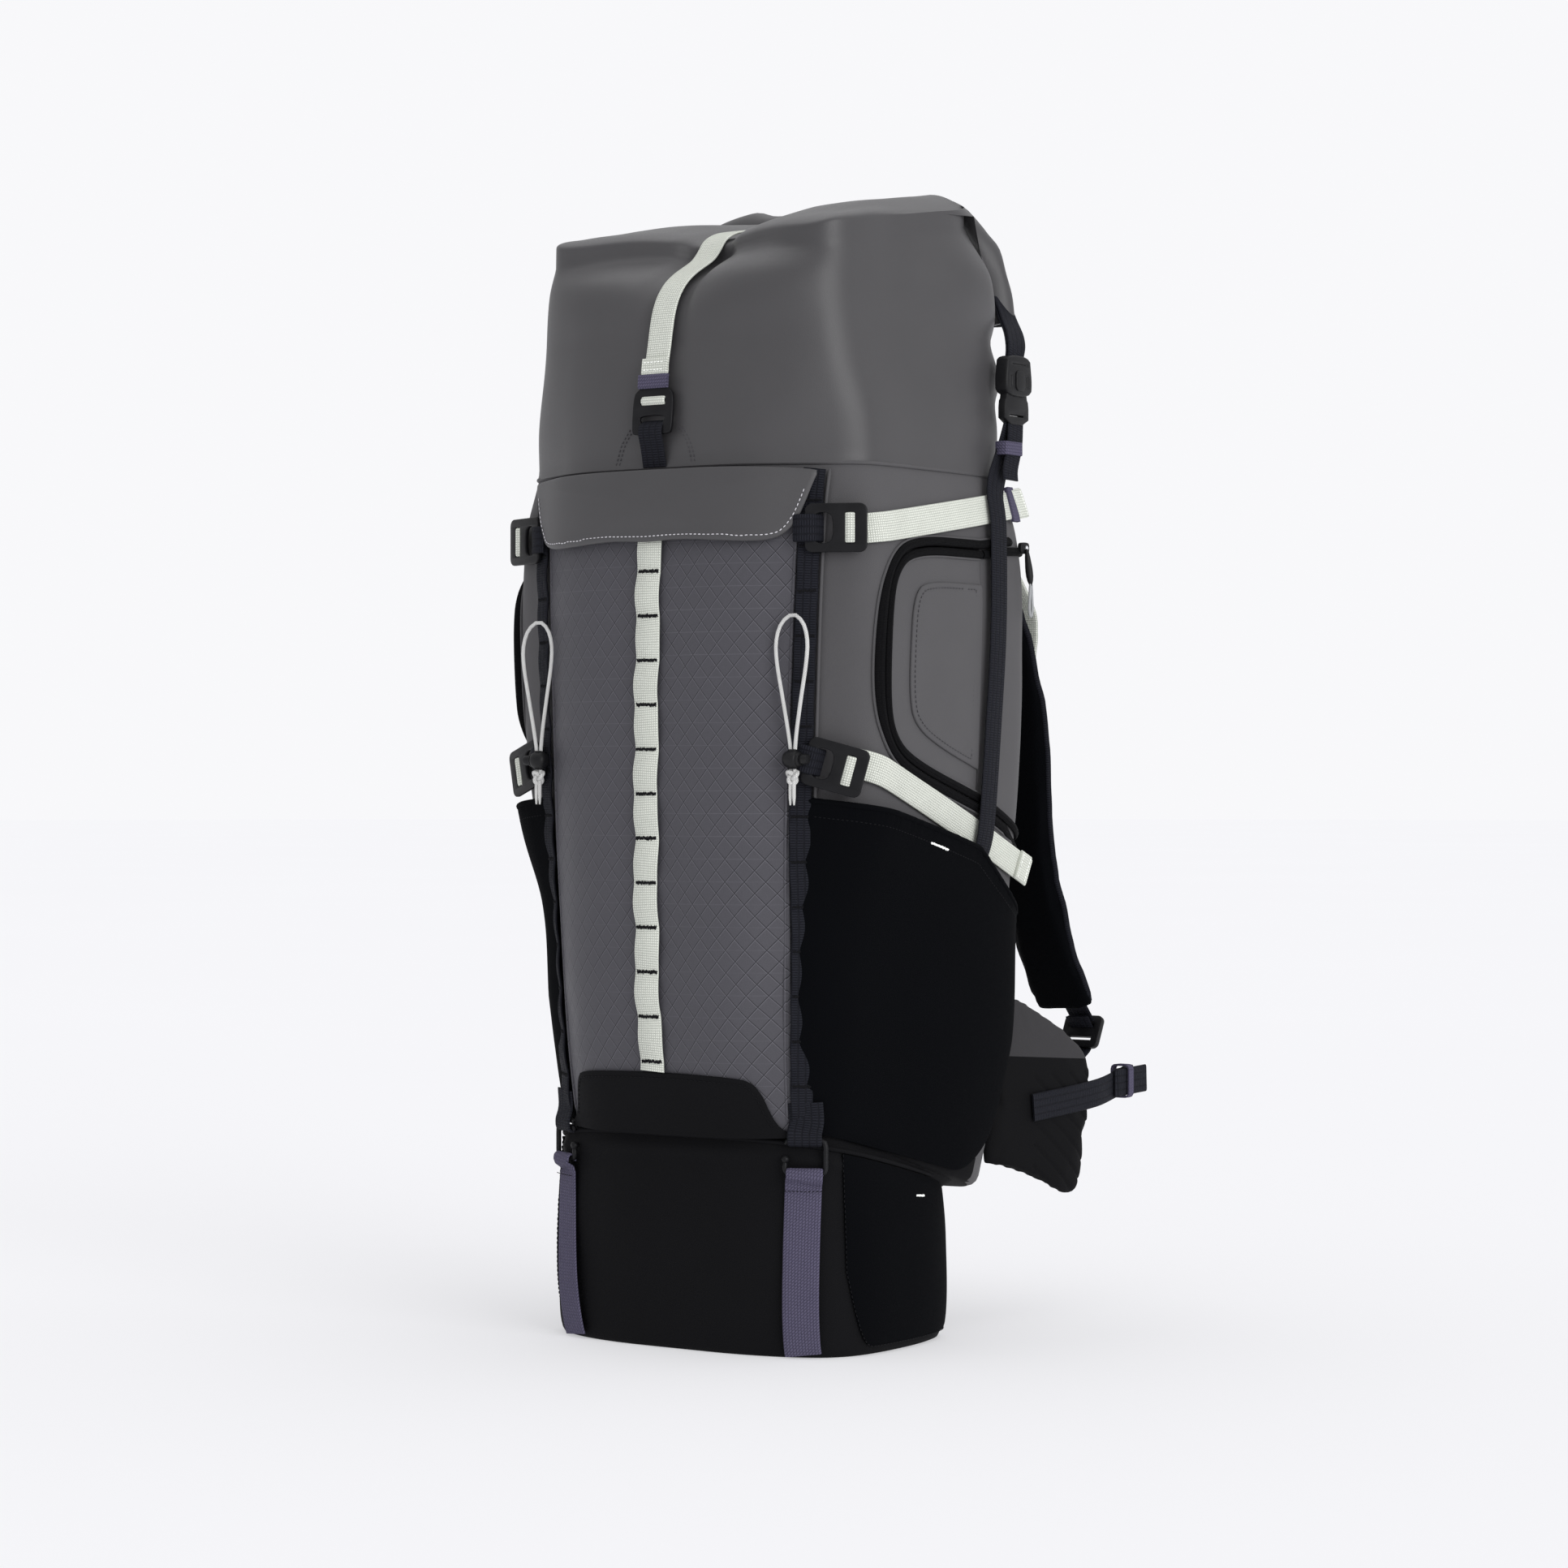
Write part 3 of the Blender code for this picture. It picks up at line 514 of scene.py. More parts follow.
def webbing_look(name, colour, dark, rib, along, twill=0.0, specular=0.10):
    """Woven webbing from its weave map: ribs across, columns of yarn along, and painted shade in
    the gaps between them.
    """
    look = Look(name, 0.7, specular)
    u, v, _ = look.parts(look.weave_place())
    v = look.math("ADD", v, look.math("MULTIPLY", u, twill))
    ribs = look.lines(v, rib, rib * 0.55)
    yarns = look.lines(u, along, along * 0.45)
    gaps = look.math("MAXIMUM", ribs, yarns)
    fuzz = look.noise(look.place(), 900.0, 2.0)
    mottle = look.noise(look.place(), 60.0)
    base = look.colour(look.ramp(mottle, 0.0, 1.0), shaded(colour, 0.94), colour)
    # The gaps between ribs and yarns go towards the dark colour: painted shade, patchy with the
    # fuzz
    shade = look.math("MULTIPLY", gaps, look.ramp(fuzz, 0.55, 1.0))
    look.set("Base Color", look.colour(look.math("MULTIPLY", shade, 0.75), base, dark))
    look.set("Roughness", look.ramp(fuzz, 0.6, 0.8))
    look.bump(look.math("SUBTRACT", look.math("MULTIPLY", fuzz, 0.4), gaps), 0.0004)
    return look.material


def hard_look(name, colour, roughness, specular, metallic=0.0):
    """Moulded plastic or coated metal with a fine texture and handling marks."""
    look = Look(name, roughness, specular, metallic)
    place = look.place()
    fine = look.noise(place, 1500.0, 2.0)
    rubs = look.noise(place, 70.0, 5.0)
    look.set("Base Color", look.colour(look.ramp(rubs, 0.0, 1.0), colour, shaded(colour, 1.5)))
    look.set("Roughness", look.ramp(rubs, roughness - 0.08, roughness + 0.10))
    look.bump(fine, 0.00008)
    return look.material


def braided_look(name, colour, dark, pitch):
    """Braided cord from its weave map."""
    look = Look(name, 0.6, 0.3, sheen=0.1)
    u, v, _ = look.parts(look.weave_place())
    one = look.lines(look.math("ADD", u, v), pitch, pitch * 0.5)
    two = look.lines(look.math("SUBTRACT", u, v), pitch, pitch * 0.5)
    net = look.math("MAXIMUM", one, two)
    soil = look.noise(look.place(), 120.0)
    base = look.colour(look.ramp(soil, 0.0, 1.0), shaded(colour, 0.92), colour)
    look.set("Base Color", look.colour(look.math("MULTIPLY", net, 0.35), base, dark))
    look.set("Roughness", look.ramp(soil, 0.55, 0.7))
    look.bump(look.math("MULTIPLY", net, -1.0), 0.0003)
    return look.material


COATED = cloth("grey_coated_cloth", linear(70, 69, 71), 0.40, 0.50, 0.03, 0.0007, 0.00006)
TWILL = cloth("grey_twill_cloth", linear(88, 87, 89), 0.62, 0.18, 0.02, 0.0010, 0.00014, 0.6)
RIPSTOP = ripstop("grey_ripstop_cloth", linear(80, 79, 85))
BLACK = cloth("black_cloth", linear(20, 20, 22), 0.72, 0.06, 0.0, 0.0009, 0.00014)
STRETCH = cloth("black_stretch_cloth", linear(8, 9, 12), 0.85, 0.04, 0.0, 0.0013, 0.00022)
MESH_PAD = cloth("black_spacer_mesh", linear(15, 15, 17), 0.85, 0.05, 0.0, 0.0032, 0.0006)
WING = two_tone("hip_wing_cloth", linear(17, 17, 19), linear(66, 65, 67), WING_SEAM)
TAPE = webbing_look("black_zip_tape", linear(17, 17, 19), linear(6, 6, 7), 0.0011, 0.0040,
                    specular=0.06)
WHITE = webbing_look("white_webbing", linear(238, 241, 231), linear(176, 181, 171), 0.00165,
                     0.00165, specular=0.2)
NAVY = webbing_look("black_webbing", linear(34, 35, 42), linear(11, 11, 15), 0.0017, 0.0050)
VIOLET = webbing_look("slate_violet_webbing", linear(96, 92, 114), linear(56, 53, 71),
                      0.0021, 0.0021, 0.9)
METAL = hard_look("black_coated_metal", linear(22, 22, 24), 0.42, 0.22, 0.25)
PLASTIC = hard_look("black_moulded_plastic", linear(18, 18, 20), 0.45, 0.25)
ALUMINIUM = hard_look("bare_aluminium", linear(200, 202, 205), 0.33, 0.5, 1.0)
CORD = braided_look("white_elastic_cord", linear(240, 240, 238), linear(150, 150, 148), 0.0016)
PULL_CORD = braided_look("pale_reflective_cord", linear(205, 208, 210), linear(90, 92, 95),
                         0.0010)
PALE_THREAD = hard_look("pale_thread", linear(185, 183, 188), 0.7, 0.2)
WHITE_THREAD = hard_look("white_thread", linear(238, 240, 236), 0.7, 0.2)
DARK_THREAD = hard_look("black_thread", linear(14, 14, 17), 0.75, 0.15)
GREY_THREAD = hard_look("grey_thread", linear(66, 65, 68), 0.75, 0.15)


# Mesh building

def piece(name, verts, faces, look, body=None, uvs=None, replaces=(), sharp=50.0):
    """A closed piece from points and faces, riding on a body."""
    mesh = bpy.data.meshes.new(name)
    mesh.from_pydata(np.asarray(verts, float).tolist(), [], faces)
    for one in look if isinstance(look, tuple) else (look,):
        mesh.materials.append(one)
    if uvs is not None:
        layer = mesh.uv_layers.new(name="weave")
        corners = np.zeros(len(mesh.loops), int)
        mesh.loops.foreach_get("vertex_index", corners)
        layer.data.foreach_set("uv", np.asarray(uvs, float)[corners].ravel())
    made = bpy.data.objects.new(name, mesh)
    bpy.context.scene.collection.objects.link(made)
    bm = bmesh.new()
    bm.from_mesh(mesh)
    bmesh.ops.remove_doubles(bm, verts=bm.verts, dist=1e-6)
    bmesh.ops.recalc_face_normals(bm, faces=bm.faces)
    bm.to_mesh(mesh)
    bm.free()
    mesh.shade_smooth()
    mesh.set_sharp_from_angle(angle=math.radians(sharp))
    if body:
        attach(made, body)
    if replaces:
        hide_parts(*replaces)
    return made


def ring_faces(rows, columns, closed=False):
    """Faces of a body swept through rings of points, its ends capped unless it is closed."""
    faces = []
    for i in range(rows if closed else rows - 1):
        low, high = i * columns, (i + 1) % rows * columns
        for j in range(columns):
            k = (j + 1) % columns
            faces.append((low + j, low + k, high + k, high + j))
    if not closed:
        faces.append(tuple(range(columns)))
        faces.append(tuple(range((rows - 1) * columns, rows * columns)))
    return faces


def swept(name, rings, look, body=None, closed=False, uvs=None, **more):
    rings = np.asarray(rings, float)
    rows, columns = rings.shape[:2]
    uvs = None if uvs is None else np.asarray(uvs, float).reshape(-1, 2)
    return piece(name, rings.reshape(-1, 3), ring_faces(rows, columns, closed), look, body,
                 uvs, **more)


def slab(name, top, bottom, look, body=None, **more):
    """A closed body between two grids of points."""
    top, bottom = np.asarray(top, float), np.asarray(bottom, float)
    rows, columns = top.shape[:2]
    faces = []
    for base, flip in ((0, False), (rows * columns, True)):
        for r in range(rows - 1):
            for c in range(columns - 1):
                a = base + r * columns + c
                face = (a, a + 1, a + columns + 1, a + columns)
                faces.append(face[::-1] if flip else face)
    rim = list(range(columns))
    rim += [r * columns + columns - 1 for r in range(1, rows)]
    rim += [(rows - 1) * columns + c for c in range(columns - 2, -1, -1)]
    rim += [r * columns for r in range(rows - 2, 0, -1)]
    under = rows * columns
    for a, b in zip(rim, rim[1:] + rim[:1]):
        faces.append((a, under + a, under + b, b))
    verts = np.concatenate([top.reshape(-1, 3), bottom.reshape(-1, 3)])
    return piece(name, verts, faces, look, body, **more)


# How a band's section rises from its edges: share of the width, share of the thickness
SECTION = ((0.0, 0.35), (0.03, 0.85), (0.10, 1.0), (0.30, 1.0), (0.50, 1.0), (0.70, 1.0),
           (0.90, 1.0), (0.97, 0.85), (1.0, 0.35), (0.97, 0.0), (0.5, 0.0), (0.03, 0.0))


def band_on(name, place, path, low, high, proud, thickness, look, body=None, crown=0.0,
            **more):
    """A band on a skin between two distances from a flat path."""
    path = np.asarray(path, float)
    side = outward(path, closed=False)
    reach = running(path)
    rings, uvs = [], []
    for share, rise in SECTION:
        spot = path + side * (low + (high - low) * share)
        lift = proud + thickness * rise + crown * math.sin(math.pi * share) * (rise > 0)
        rings.append(place(spot[:, 0], spot[:, 1], lift + np.zeros(len(path))))
        uvs.append(np.stack([np.full(len(path), (high - low) * share), reach], 1))
    rings = np.array(rings).transpose(1, 0, 2)
    uvs = np.array(uvs).transpose(1, 0, 2)
    return swept(name, rings, look, body, False, uvs, **more)


def webbing(name, path, across, width, look, body=None, thickness=WEBBING_THICKNESS, wave=0.0,
            **more):
    """Flat webbing along a path in space; across is its width's direction at each point."""
    path = np.asarray(path, float)
    wide = np.broadcast_to(np.asarray(across, float), path.shape)
    along = unit(np.gradient(path, axis=0))
    wide = unit(wide - along * np.sum(wide * along, 1)[:, None])
    up = np.cross(along, wide)
    reach = running(path)
    width = np.broadcast_to(np.asarray(width, float), len(path))
    rings, uvs = [], []
    for share, rise in SECTION:
        sway = wave * np.sin(reach / 0.0048 + 9 * share)
        spot = path + wide * (width * (share - 0.5) + sway)[:, None]
        spot = spot + up * thickness * (rise - 0.5)
        rings.append(spot)
        uvs.append(np.stack([width * share, reach], 1))
    return swept(name, np.array(rings).transpose(1, 0, 2), look, body, False,
                 np.array(uvs).transpose(1, 0, 2), **more)


def tube(name, path, radius, look, body=None, closed=False, sides=10, **more):
    """A round cord or wire along a path, its ends drawn in unless it is closed."""
    path = np.asarray(path, float)
    along = np.gradient(path, axis=0)
    if closed:
        along = np.roll(path, -1, 0) - np.roll(path, 1, 0)
    along = unit(along)
    across = np.cross(along[0], (0.3, 0.2, 0.93))
    reach = running(path)
    radii = np.broadcast_to(np.asarray(radius, float), len(path)).copy()
    if not closed:
        radii[[0, -1]] *= 0.45
        radii[[1, -2]] *= 0.92
    rings, uvs = [], []
    for point, ahead, thick, far in zip(path, along, radii, reach):
        across = across - ahead * np.dot(across, ahead)
        across /= np.linalg.norm(across)
        up = np.cross(ahead, across)
        angles = np.arange(sides) * 2 * math.pi / sides
        rings.append([point + thick * (across * math.cos(a) + up * math.sin(a))
                      for a in angles])
        uvs.append([(thick * abs(a - math.pi), far) for a in angles])
    return swept(name, rings, look, body, closed, uvs, **more)


# How a sheet's surface goes from near its centre, over its edge and back underneath
SHEET_RINGS = ((0.02, 1.0), (0.14, 1.0), (0.28, 1.0), (0.42, 1.0), (0.55, 1.0), (0.67, 1.0),
               (0.78, 1.0), (0.87, 1.0), (0.93, 1.0), (0.97, 1.0), (0.988, 0.92), (0.997, 0.7),
               (1.0, 0.45), (0.996, 0.1), (0.98, 0.0), (0.6, 0.0), (0.02, 0.0))


def sheet_on(name, place, outline, proud, thickness, look, body=None, crown=0.0, relief=None,
             **more):
    """A sheet on a skin inside a closed outline, with a rounded edge."""
    outline = turned_left(resample(outline, 0.004, closed=True))
    centre = (outline.min(0) + outline.max(0)) / 2
    rings = []
    for share, rise in SHEET_RINGS:
        spot = centre + (outline - centre) * share
        lift = proud + thickness * rise + np.full(len(spot), crown * (1 - share ** 2))
        if relief and rise > 0.5:
            lift = lift + relief(spot[:, 0], spot[:, 1])
        rings.append(place(spot[:, 0], spot[:, 1], lift))
    return swept(name, rings, look, body, **more)


def plate(name, outline, holes, thickness, origin, u_axis, v_axis, look, body=None,
          bevel=0.0006, **more):
    """A flat plate with holes and soft edges, standing on its origin's plane."""
    curve = bpy.data.curves.new(name, "CURVE")
    curve.dimensions = "2D"
    curve.fill_mode = "BOTH"
    curve.extrude = thickness / 2 - bevel
    curve.bevel_depth = bevel
    curve.bevel_resolution = 2
    for loop in (outline, *holes):
        line = curve.splines.new("POLY")
        line.points.add(len(loop) - 1)
        line.use_cyclic_u = True
        for spot, (u, v) in zip(line.points, loop):
            spot.co = (u, v, 0.0, 1.0)
    holder = bpy.data.objects.new(name + "_curve", curve)
    bpy.context.scene.collection.objects.link(holder)
    bpy.context.view_layer.update()
    graph = bpy.context.evaluated_depsgraph_get()
    mesh = bpy.data.meshes.new_from_object(holder.evaluated_get(graph))
    bpy.data.objects.remove(holder)
    u_axis, v_axis = Vector(u_axis).normalized(), Vector(v_axis).normalized()
    out = u_axis.cross(v_axis)
    turn = Matrix((u_axis, v_axis, out)).transposed().to_4x4()
    middle = Vector(origin) + out * thickness / 2
    mesh.transform(Matrix.Translation(middle) @ turn)
    verts = [tuple(v.co) for v in mesh.vertices]
    faces = [tuple(p.vertices) for p in mesh.polygons]
    bpy.data.meshes.remove(mesh)
    return piece(name, verts, faces, look, body, sharp=35.0, **more)


def revolved(name, profile, origin, axis, look, body=None, sides=28, ribs=0.0, **more):
    """A turned shape: profile gives (distance along the axis, radius)."""
    axis = Vector(axis).normalized()
    across = axis.orthogonal().normalized()
    up = axis.cross(across)
    rings = []
    for along, radius in profile:
        ring = []
        for i in range(sides):
            angle = 2 * math.pi * i / sides
            reach = radius * (1 + ribs * (i % 2))
            ring.append(Vector(origin) + axis * along
                        + (across * math.cos(angle) + up * math.sin(angle)) * reach)
        rings.append(ring)
    return swept(name, rings, look, body, **more)


# Stitching, gathered for each body and thread and built at the end

THREADS = {}
THREAD_LOOKS = {"pale": PALE_THREAD, "white": WHITE_THREAD, "dark": DARK_THREAD,
                "grey": GREY_THREAD}


def stitch(body, thread, start, end, radius=THREAD):
    THREADS.setdefault((body, thread), []).append((*start, *end, radius))


def stitch_line(body, thread, points, length=0.0026, gap=0.0011, radius=THREAD):
    """A row of stitches along a line in space."""
    points = np.asarray(points, float)
    reach = running(points)

    def at(distance):
        return [float(np.interp(distance, reach, column)) for column in points.T]

    start = 0.0
    while start + length < reach[-1]:
        stitch(body, thread, at(start), at(start + length), radius)
        start += length + gap


def bartack(body, thread, centre, across, along, width, height, seed=0, radius=0.00055):
    """A dense bar of stitches; along is the way its threads run."""
    chance = random.Random(seed)
    centre = np.asarray(centre, float)
    across = np.asarray(across, float) / np.linalg.norm(across)
    along = np.asarray(along, float) / np.linalg.norm(along)
    count = max(3, round(width / (1.7 * radius)))
    for i in range(count):
        spot = centre + across * width * ((i + 0.5) / count - 0.5)
        low = height * (0.5 + 0.35 * chance.random() ** 3)
        high = height * (0.5 + 0.35 * chance.random() ** 3)
        lean = across * radius * chance.uniform(-1, 1)
        stitch(body, thread, spot - along * low - lean, spot + along * high + lean, radius)


def make_threads():
    """One piece for each body and thread: every stitch a small closed spindle."""
    sides = 5
    for (body, thread), rows in sorted(THREADS.items()):
        rows = np.array(rows, float)
        start, end, radius = rows[:, 0:3], rows[:, 3:6], rows[:, 6:7]
        along = unit(end - start)
        across = unit(np.cross(along, (0.31, 0.17, 0.93)))
        up = np.cross(along, across)
        verts = [start]
        for share, fat in ((0.10, 0.75), (0.5, 1.0), (0.90, 0.75)):
            for i in range(sides):
                angle = 2 * math.pi * i / sides
                verts.append(start + (end - start) * share
                             + fat * radius * (across * math.cos(angle) + up * math.sin(angle)))
        verts.append(end)
        verts = np.stack(verts, 1)
        pattern = []
        for i in range(sides):
            j = (i + 1) % sides
            pattern.append((0, 1 + i, 1 + j))
            for level in (0, 1):
                low = 1 + level * sides
                pattern.append((low + i, low + sides + i, low + sides + j, low + j))
            pattern.append((1 + 2 * sides + i, 1 + 3 * sides, 1 + 2 * sides + j))
        each = verts.shape[1]
        faces = [tuple(n * each + i for i in face)
                 for n in range(len(verts)) for face in pattern]
        piece(f"stitching_{thread}_{body}", verts.reshape(-1, 3), faces,
              THREAD_LOOKS[thread], body)


def settled(made):
    """Applies a piece's modifiers."""
    graph = bpy.context.evaluated_depsgraph_get()
    mesh = bpy.data.meshes.new_from_object(made.evaluated_get(graph))
    made.modifiers.clear()
    old = made.data
    made.data = mesh
    bpy.data.meshes.remove(old)


def coordinates(made):
    found = np.zeros(len(made.data.vertices) * 3)
    made.data.vertices.foreach_get("co", found)
    return found.reshape(-1, 3)


def move_to(made, points):
    made.data.vertices.foreach_set("co", np.asarray(points, np.float32).ravel())
    made.data.update()


PAD_PRESSURE = 4.0
CLOTH_FRAMES = 20


def puffed(made, voxel, cap, evened=6):
    """Fills a closed pad: a short cloth run swells it, no point going further than the cap."""
    remesh = made.modifiers.new("remesh", "REMESH")
    remesh.mode = "VOXEL"
    remesh.voxel_size = voxel
    even = made.modifiers.new("even", "SMOOTH")
    even.factor = 0.5
    even.iterations = evened
    settled(made)
    rest = coordinates(made)
    swell = made.modifiers.new("cloth", "CLOTH")
    swell.settings.use_pressure = True
    swell.settings.uniform_pressure_force = PAD_PRESSURE
    swell.settings.effector_weights.gravity = 0.0
    swell.point_cache.frame_end = CLOTH_FRAMES
    for number in range(1, CLOTH_FRAMES + 1):
        bpy.context.scene.frame_set(number)
    settled(made)
    bpy.context.scene.frame_set(1)
    step = coordinates(made) - rest
    step -= step.mean(0)
    far = np.linalg.norm(step, axis=1)[:, None]
    move_to(made, rest + step * np.minimum(1.0, cap / np.maximum(far, 1e-9)))
    smooth = made.modifiers.new("smooth", "SUBSURF")
    smooth.levels = 1
    settled(made)
    made.data.shade_smooth()
    return made


def laid_on(made, points, lift=0.0003):
    """The points dropped on to a piece's own surface, and lifted off it a little."""
    polygons = [list(face.vertices) for face in made.data.polygons]
    tree = BVHTree.FromPolygons([v.co.copy() for v in made.data.vertices], polygons)
    found = []
    for point in points:
        spot, normal, _, _ = tree.find_nearest(Vector(point))
        found.append(spot + normal * lift)
    return np.array(found)


# Camera and cords

def make_camera():
    data = bpy.data.cameras.new("camera")
    data.lens = CAMERA_LENS
    data.sensor_width = 36.0
    camera = bpy.data.objects.new("camera", data)
    camera.location = CAMERA_PLACE
    camera.rotation_euler = (math.radians(90), 0, math.radians(CAMERA_TURN))
    bpy.context.scene.collection.objects.link(camera)
    bpy.context.scene.camera = camera


# The loop's right-hand strand from its top to its free tip, from the loop's own centre line
CORD_CENTRE = (0.1075, -0.1032)
CORD_LOCK_HEIGHT = 0.401
KNOT_PLACE = (0, -.0004, .3895)
STRAND = ((0.0085, -0.0008, 0.4915), (0.0125, -0.0014, 0.4800), (0.0118, -0.0016, 0.4650),
          (0.0075, -0.0012, 0.4420), (0.0035, -0.0006, 0.4200), (0.0017, 0.0, 0.4060),
          (0.0015, 0.0, 0.3940), (0.0014, -0.0008, 0.3840), (0.0015, -0.0008, 0.3705))


def make_cords():
    """An elastic loop on each edge webbing, its strands through a cord lock and a knot."""
    for side, tag in SIDES:
        loop = [(-x, y, z) for x, y, z in reversed(STRAND)] + [(0, 0, 0.4970), *STRAND]
        centre = Vector((side * CORD_CENTRE[0], CORD_CENTRE[1], 0.0))
        points = route([centre + Vector((side * x, y, z)) for x, y, z in loop], 0.005)
        cord = tube(f"elastic_loop_{tag}", points, CORD_RADIUS, CORD, "pack",
                    replaces=(f"elastic_cord_{tag}",))
        lock_place = centre + Vector((0, 0, CORD_LOCK_HEIGHT))
        barrel = [(-.0070, .0012), (-.0066, .0032), (-.0054, .0050), (-.0030, .0060),
                  (0, .0063), (.0026, .0060), (.0042, .0052), (.0044, .0046), (.0050, .0044),
                  (.0052, .0048), (.0062, .0046), (.0066, .0038), (.0066, .0012)]
        lock = revolved(f"cord_lock_body_{tag}", barrel, lock_place, (side, 0, 0), PLASTIC,
                        "pack", replaces=(f"cord_lock_{tag}",))
        for level in (-1, 1):
            lip = [(0, .0030), (.0010, .0034), (.0016, .0030), (.0014, .0018)]
            mouth = revolved(f"cord_lock_mouth_{tag}_{level + 1}", lip,
                             lock_place + Vector((0, 0, level * .0050)), (0, 0, level),
                             PLASTIC, sides=20)
            mouth.parent = lock
            mouth.matrix_parent_inverse = lock.matrix_world.inverted()
        cap = [(.0052, .0026), (.0060, .0033), (.0110, .0034), (.0122, .0029), (.0125, .0012)]
        button = revolved(f"cord_lock_plunger_{tag}", cap, lock_place, (side, 0, 0), PLASTIC,
                          f"cord_lock_button_{tag}", ribs=0.04,
                          replaces=(f"cord_lock_button_{tag}",))
        turns = np.linspace(0, 2 * math.pi, 60, endpoint=False)
        bow = np.stack([np.sin(turns) + 2 * np.sin(2 * turns),
                        -1.1 * np.sin(3 * turns),
                        np.cos(turns) - 2 * np.cos(2 * turns)], 1)
        knot = tube(f"elastic_knot_{tag}",
                    np.array(centre) + KNOT_PLACE + 0.0015 * bow, CORD_RADIUS * 1.15, CORD,
                    "pack", closed=True)


# The main body

def skin_ring(skin, ts, zs, proud=0.0, uneven=0.0):
    """A full ring round a skin: the right half from front to back, then the left."""
    halves = []
    for side, _ in SIDES:
        place = skin.wrap(side)
        lift = proud + crumple(place(ts, zs), 0.055, uneven, 3.1)
        halves.append(place(ts, zs, lift))
    return np.vstack([halves[0], halves[1][::-1][1:-1]])


def door_path(grow=0.0):
    """The door's free edge in (y, z): from the top rear round the front to the lower rear."""
    order = [DOOR[1], *DOOR[2:], DOOR[0]]
    return offset(resample(chaikin(order, 3, closed=False), 0.004), grow, closed=False)


def zip_path():
    """The zip's line: round the door's edge, and past its hinge at both ends."""
    return np.vstack([[(0.120, 0.5502), (0.090, 0.5498), (0.066, 0.5470)], door_path(),
                      [(0.066, 0.3670), (0.090, 0.3570), (0.118, 0.3440)]])


def make_body():
    ts = np.linspace(0, 8, 86)
    floor = floor_height(spline(BODY.controls[0], ts)[:, 1])
    rings = [skin_ring(BODY, ts, floor + lift, -inset)
             for inset, lift in ((.007, 0), (.0035, .0008), (.0012, .0030), (.0002, .0065))]
    for share in np.linspace(0.02, 1.0, 74)[1:]:
        uneven = 0.0009 if share < 0.97 else 0.0
        rings.append(skin_ring(BODY, ts, floor + (SEAM_HEIGHT - floor) * share, 0.0, uneven))
    for share in np.linspace(1.0, 0.02, 12):
        rings.append(skin_ring(BODY, ts, floor + (SEAM_HEIGHT - floor) * share, -SHELL))
    body = swept("main_body", rings, (TWILL, BLACK), replaces=("main_shell",))
    for side, tag in SIDES:
        hole = np.vstack([door_path(0.0008), [(DOOR_HINGE_Y, DOOR[0][1] - 0.0008),
                                              (DOOR_HINGE_Y, DOOR[1][1] + 0.0008)]])
        rings = [[(side * x, y, z) for y, z in hole] for x in (0.110, 0.190)]
        cutter = swept(f"door_cutter_{tag}", rings, TWILL)
        cut = body.modifiers.new("door_hole", "BOOLEAN")
        cut.operation = "DIFFERENCE"
        cut.object = cutter
        settled(body)
        bpy.data.objects.remove(cutter)
    body.data.set_sharp_from_angle(angle=math.radians(40))
    for face in body.data.polygons:
        x, y, z = face.center
        base = z < floor_height(y) + 0.014 and y < 0.080
        face.material_index = 1 if base or (y < -0.080 and z < 0.168) else 0
    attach(body, "pack")
    seam_ts = np.linspace(0, 8, 120)
    seam = skin_ring(BODY, seam_ts, np.full(120, SEAM_HEIGHT - 0.0012), 0.0004)
    tube("body_top_seam", seam, 0.0014, TWILL, "pack", closed=True, sides=8)


def make_skirt():
    """The black cloth that joins the body to the bottom bag."""
    ts = np.linspace(0, 8, 80)
    floor = floor_height(spline(BODY.controls[0], ts)[:, 1]) + 0.012
    rim = rim_height(spline(BIN.controls[-1], ts)[:, 1]) - 0.008
    rings = [skin_ring(BODY, ts, floor, -0.0022), skin_ring(BIN, ts, rim, -0.0022),
             skin_ring(BIN, ts, rim, -0.0062), skin_ring(BODY, ts, floor, -0.0062)]
    swept("body_skirt", rings, BLACK, "pack", closed=True)


def make_door(side, tag):
    """The side panel that the zip opens, with its pocket seam and its half of the zip."""
    place = BODY.flank(side)
    body = f"side_door_{tag}"
    edge = door_path(-0.0004)
    outline = np.vstack([edge, [(DOOR[0][0], DOOR[0][1]), (DOOR[1][0], DOOR[1][1])]])

    def sag(y, z):
        points = np.stack([0 * y, y, z], 1)
        return crumple(points, 0.045, 0.0007, 5.0 + side)

    sheet_on(f"door_panel_{tag}", place, outline, -0.0042, 0.0048, TWILL, body, relief=sag,
             replaces=(f"side_door_{tag}",))
    inner = [(.0508, .3945), (.0508, .5215)]
    inner += list(chaikin([(.0508, .5215), (-.0150, .5215), (-.0290, .5130), (-.0340, .4900),
                           (-.0340, .4400), (-.0240, .4220), (.0100, .4070), (.0508, .3945)],
                          3, closed=False))[1:-1]
    pocket = sheet_on(f"door_pocket_{tag}", place, inner, 0.0006, 0.0018, TWILL, body,
                      crown=0.0018, relief=sag)
    rim = turned_left(resample(inner, 0.004, closed=True))
    line = offset(rim, -0.0035)
    line = line[line[:, 0] < 0.044]
    line = from_gap(line)
    stitch_line(body, "grey", laid_on(pocket, place(line[:, 0], line[:, 1], 0.006)), 0.0022,
                0.0012)
    band_on(f"door_zip_band_{tag}", place, door_path(), -ZIP_BAND, -0.0003, 0.0008,
            band_thickness(side, door_path()), TAPE, body, crown=0.0013)
    seam = offset(door_path(), -ZIP_BAND - 0.0004, closed=False)
    tube(f"door_zip_piping_{tag}", place(seam[:, 0], seam[:, 1], 0.0010), 0.0009, TWILL, body,
         sides=6)


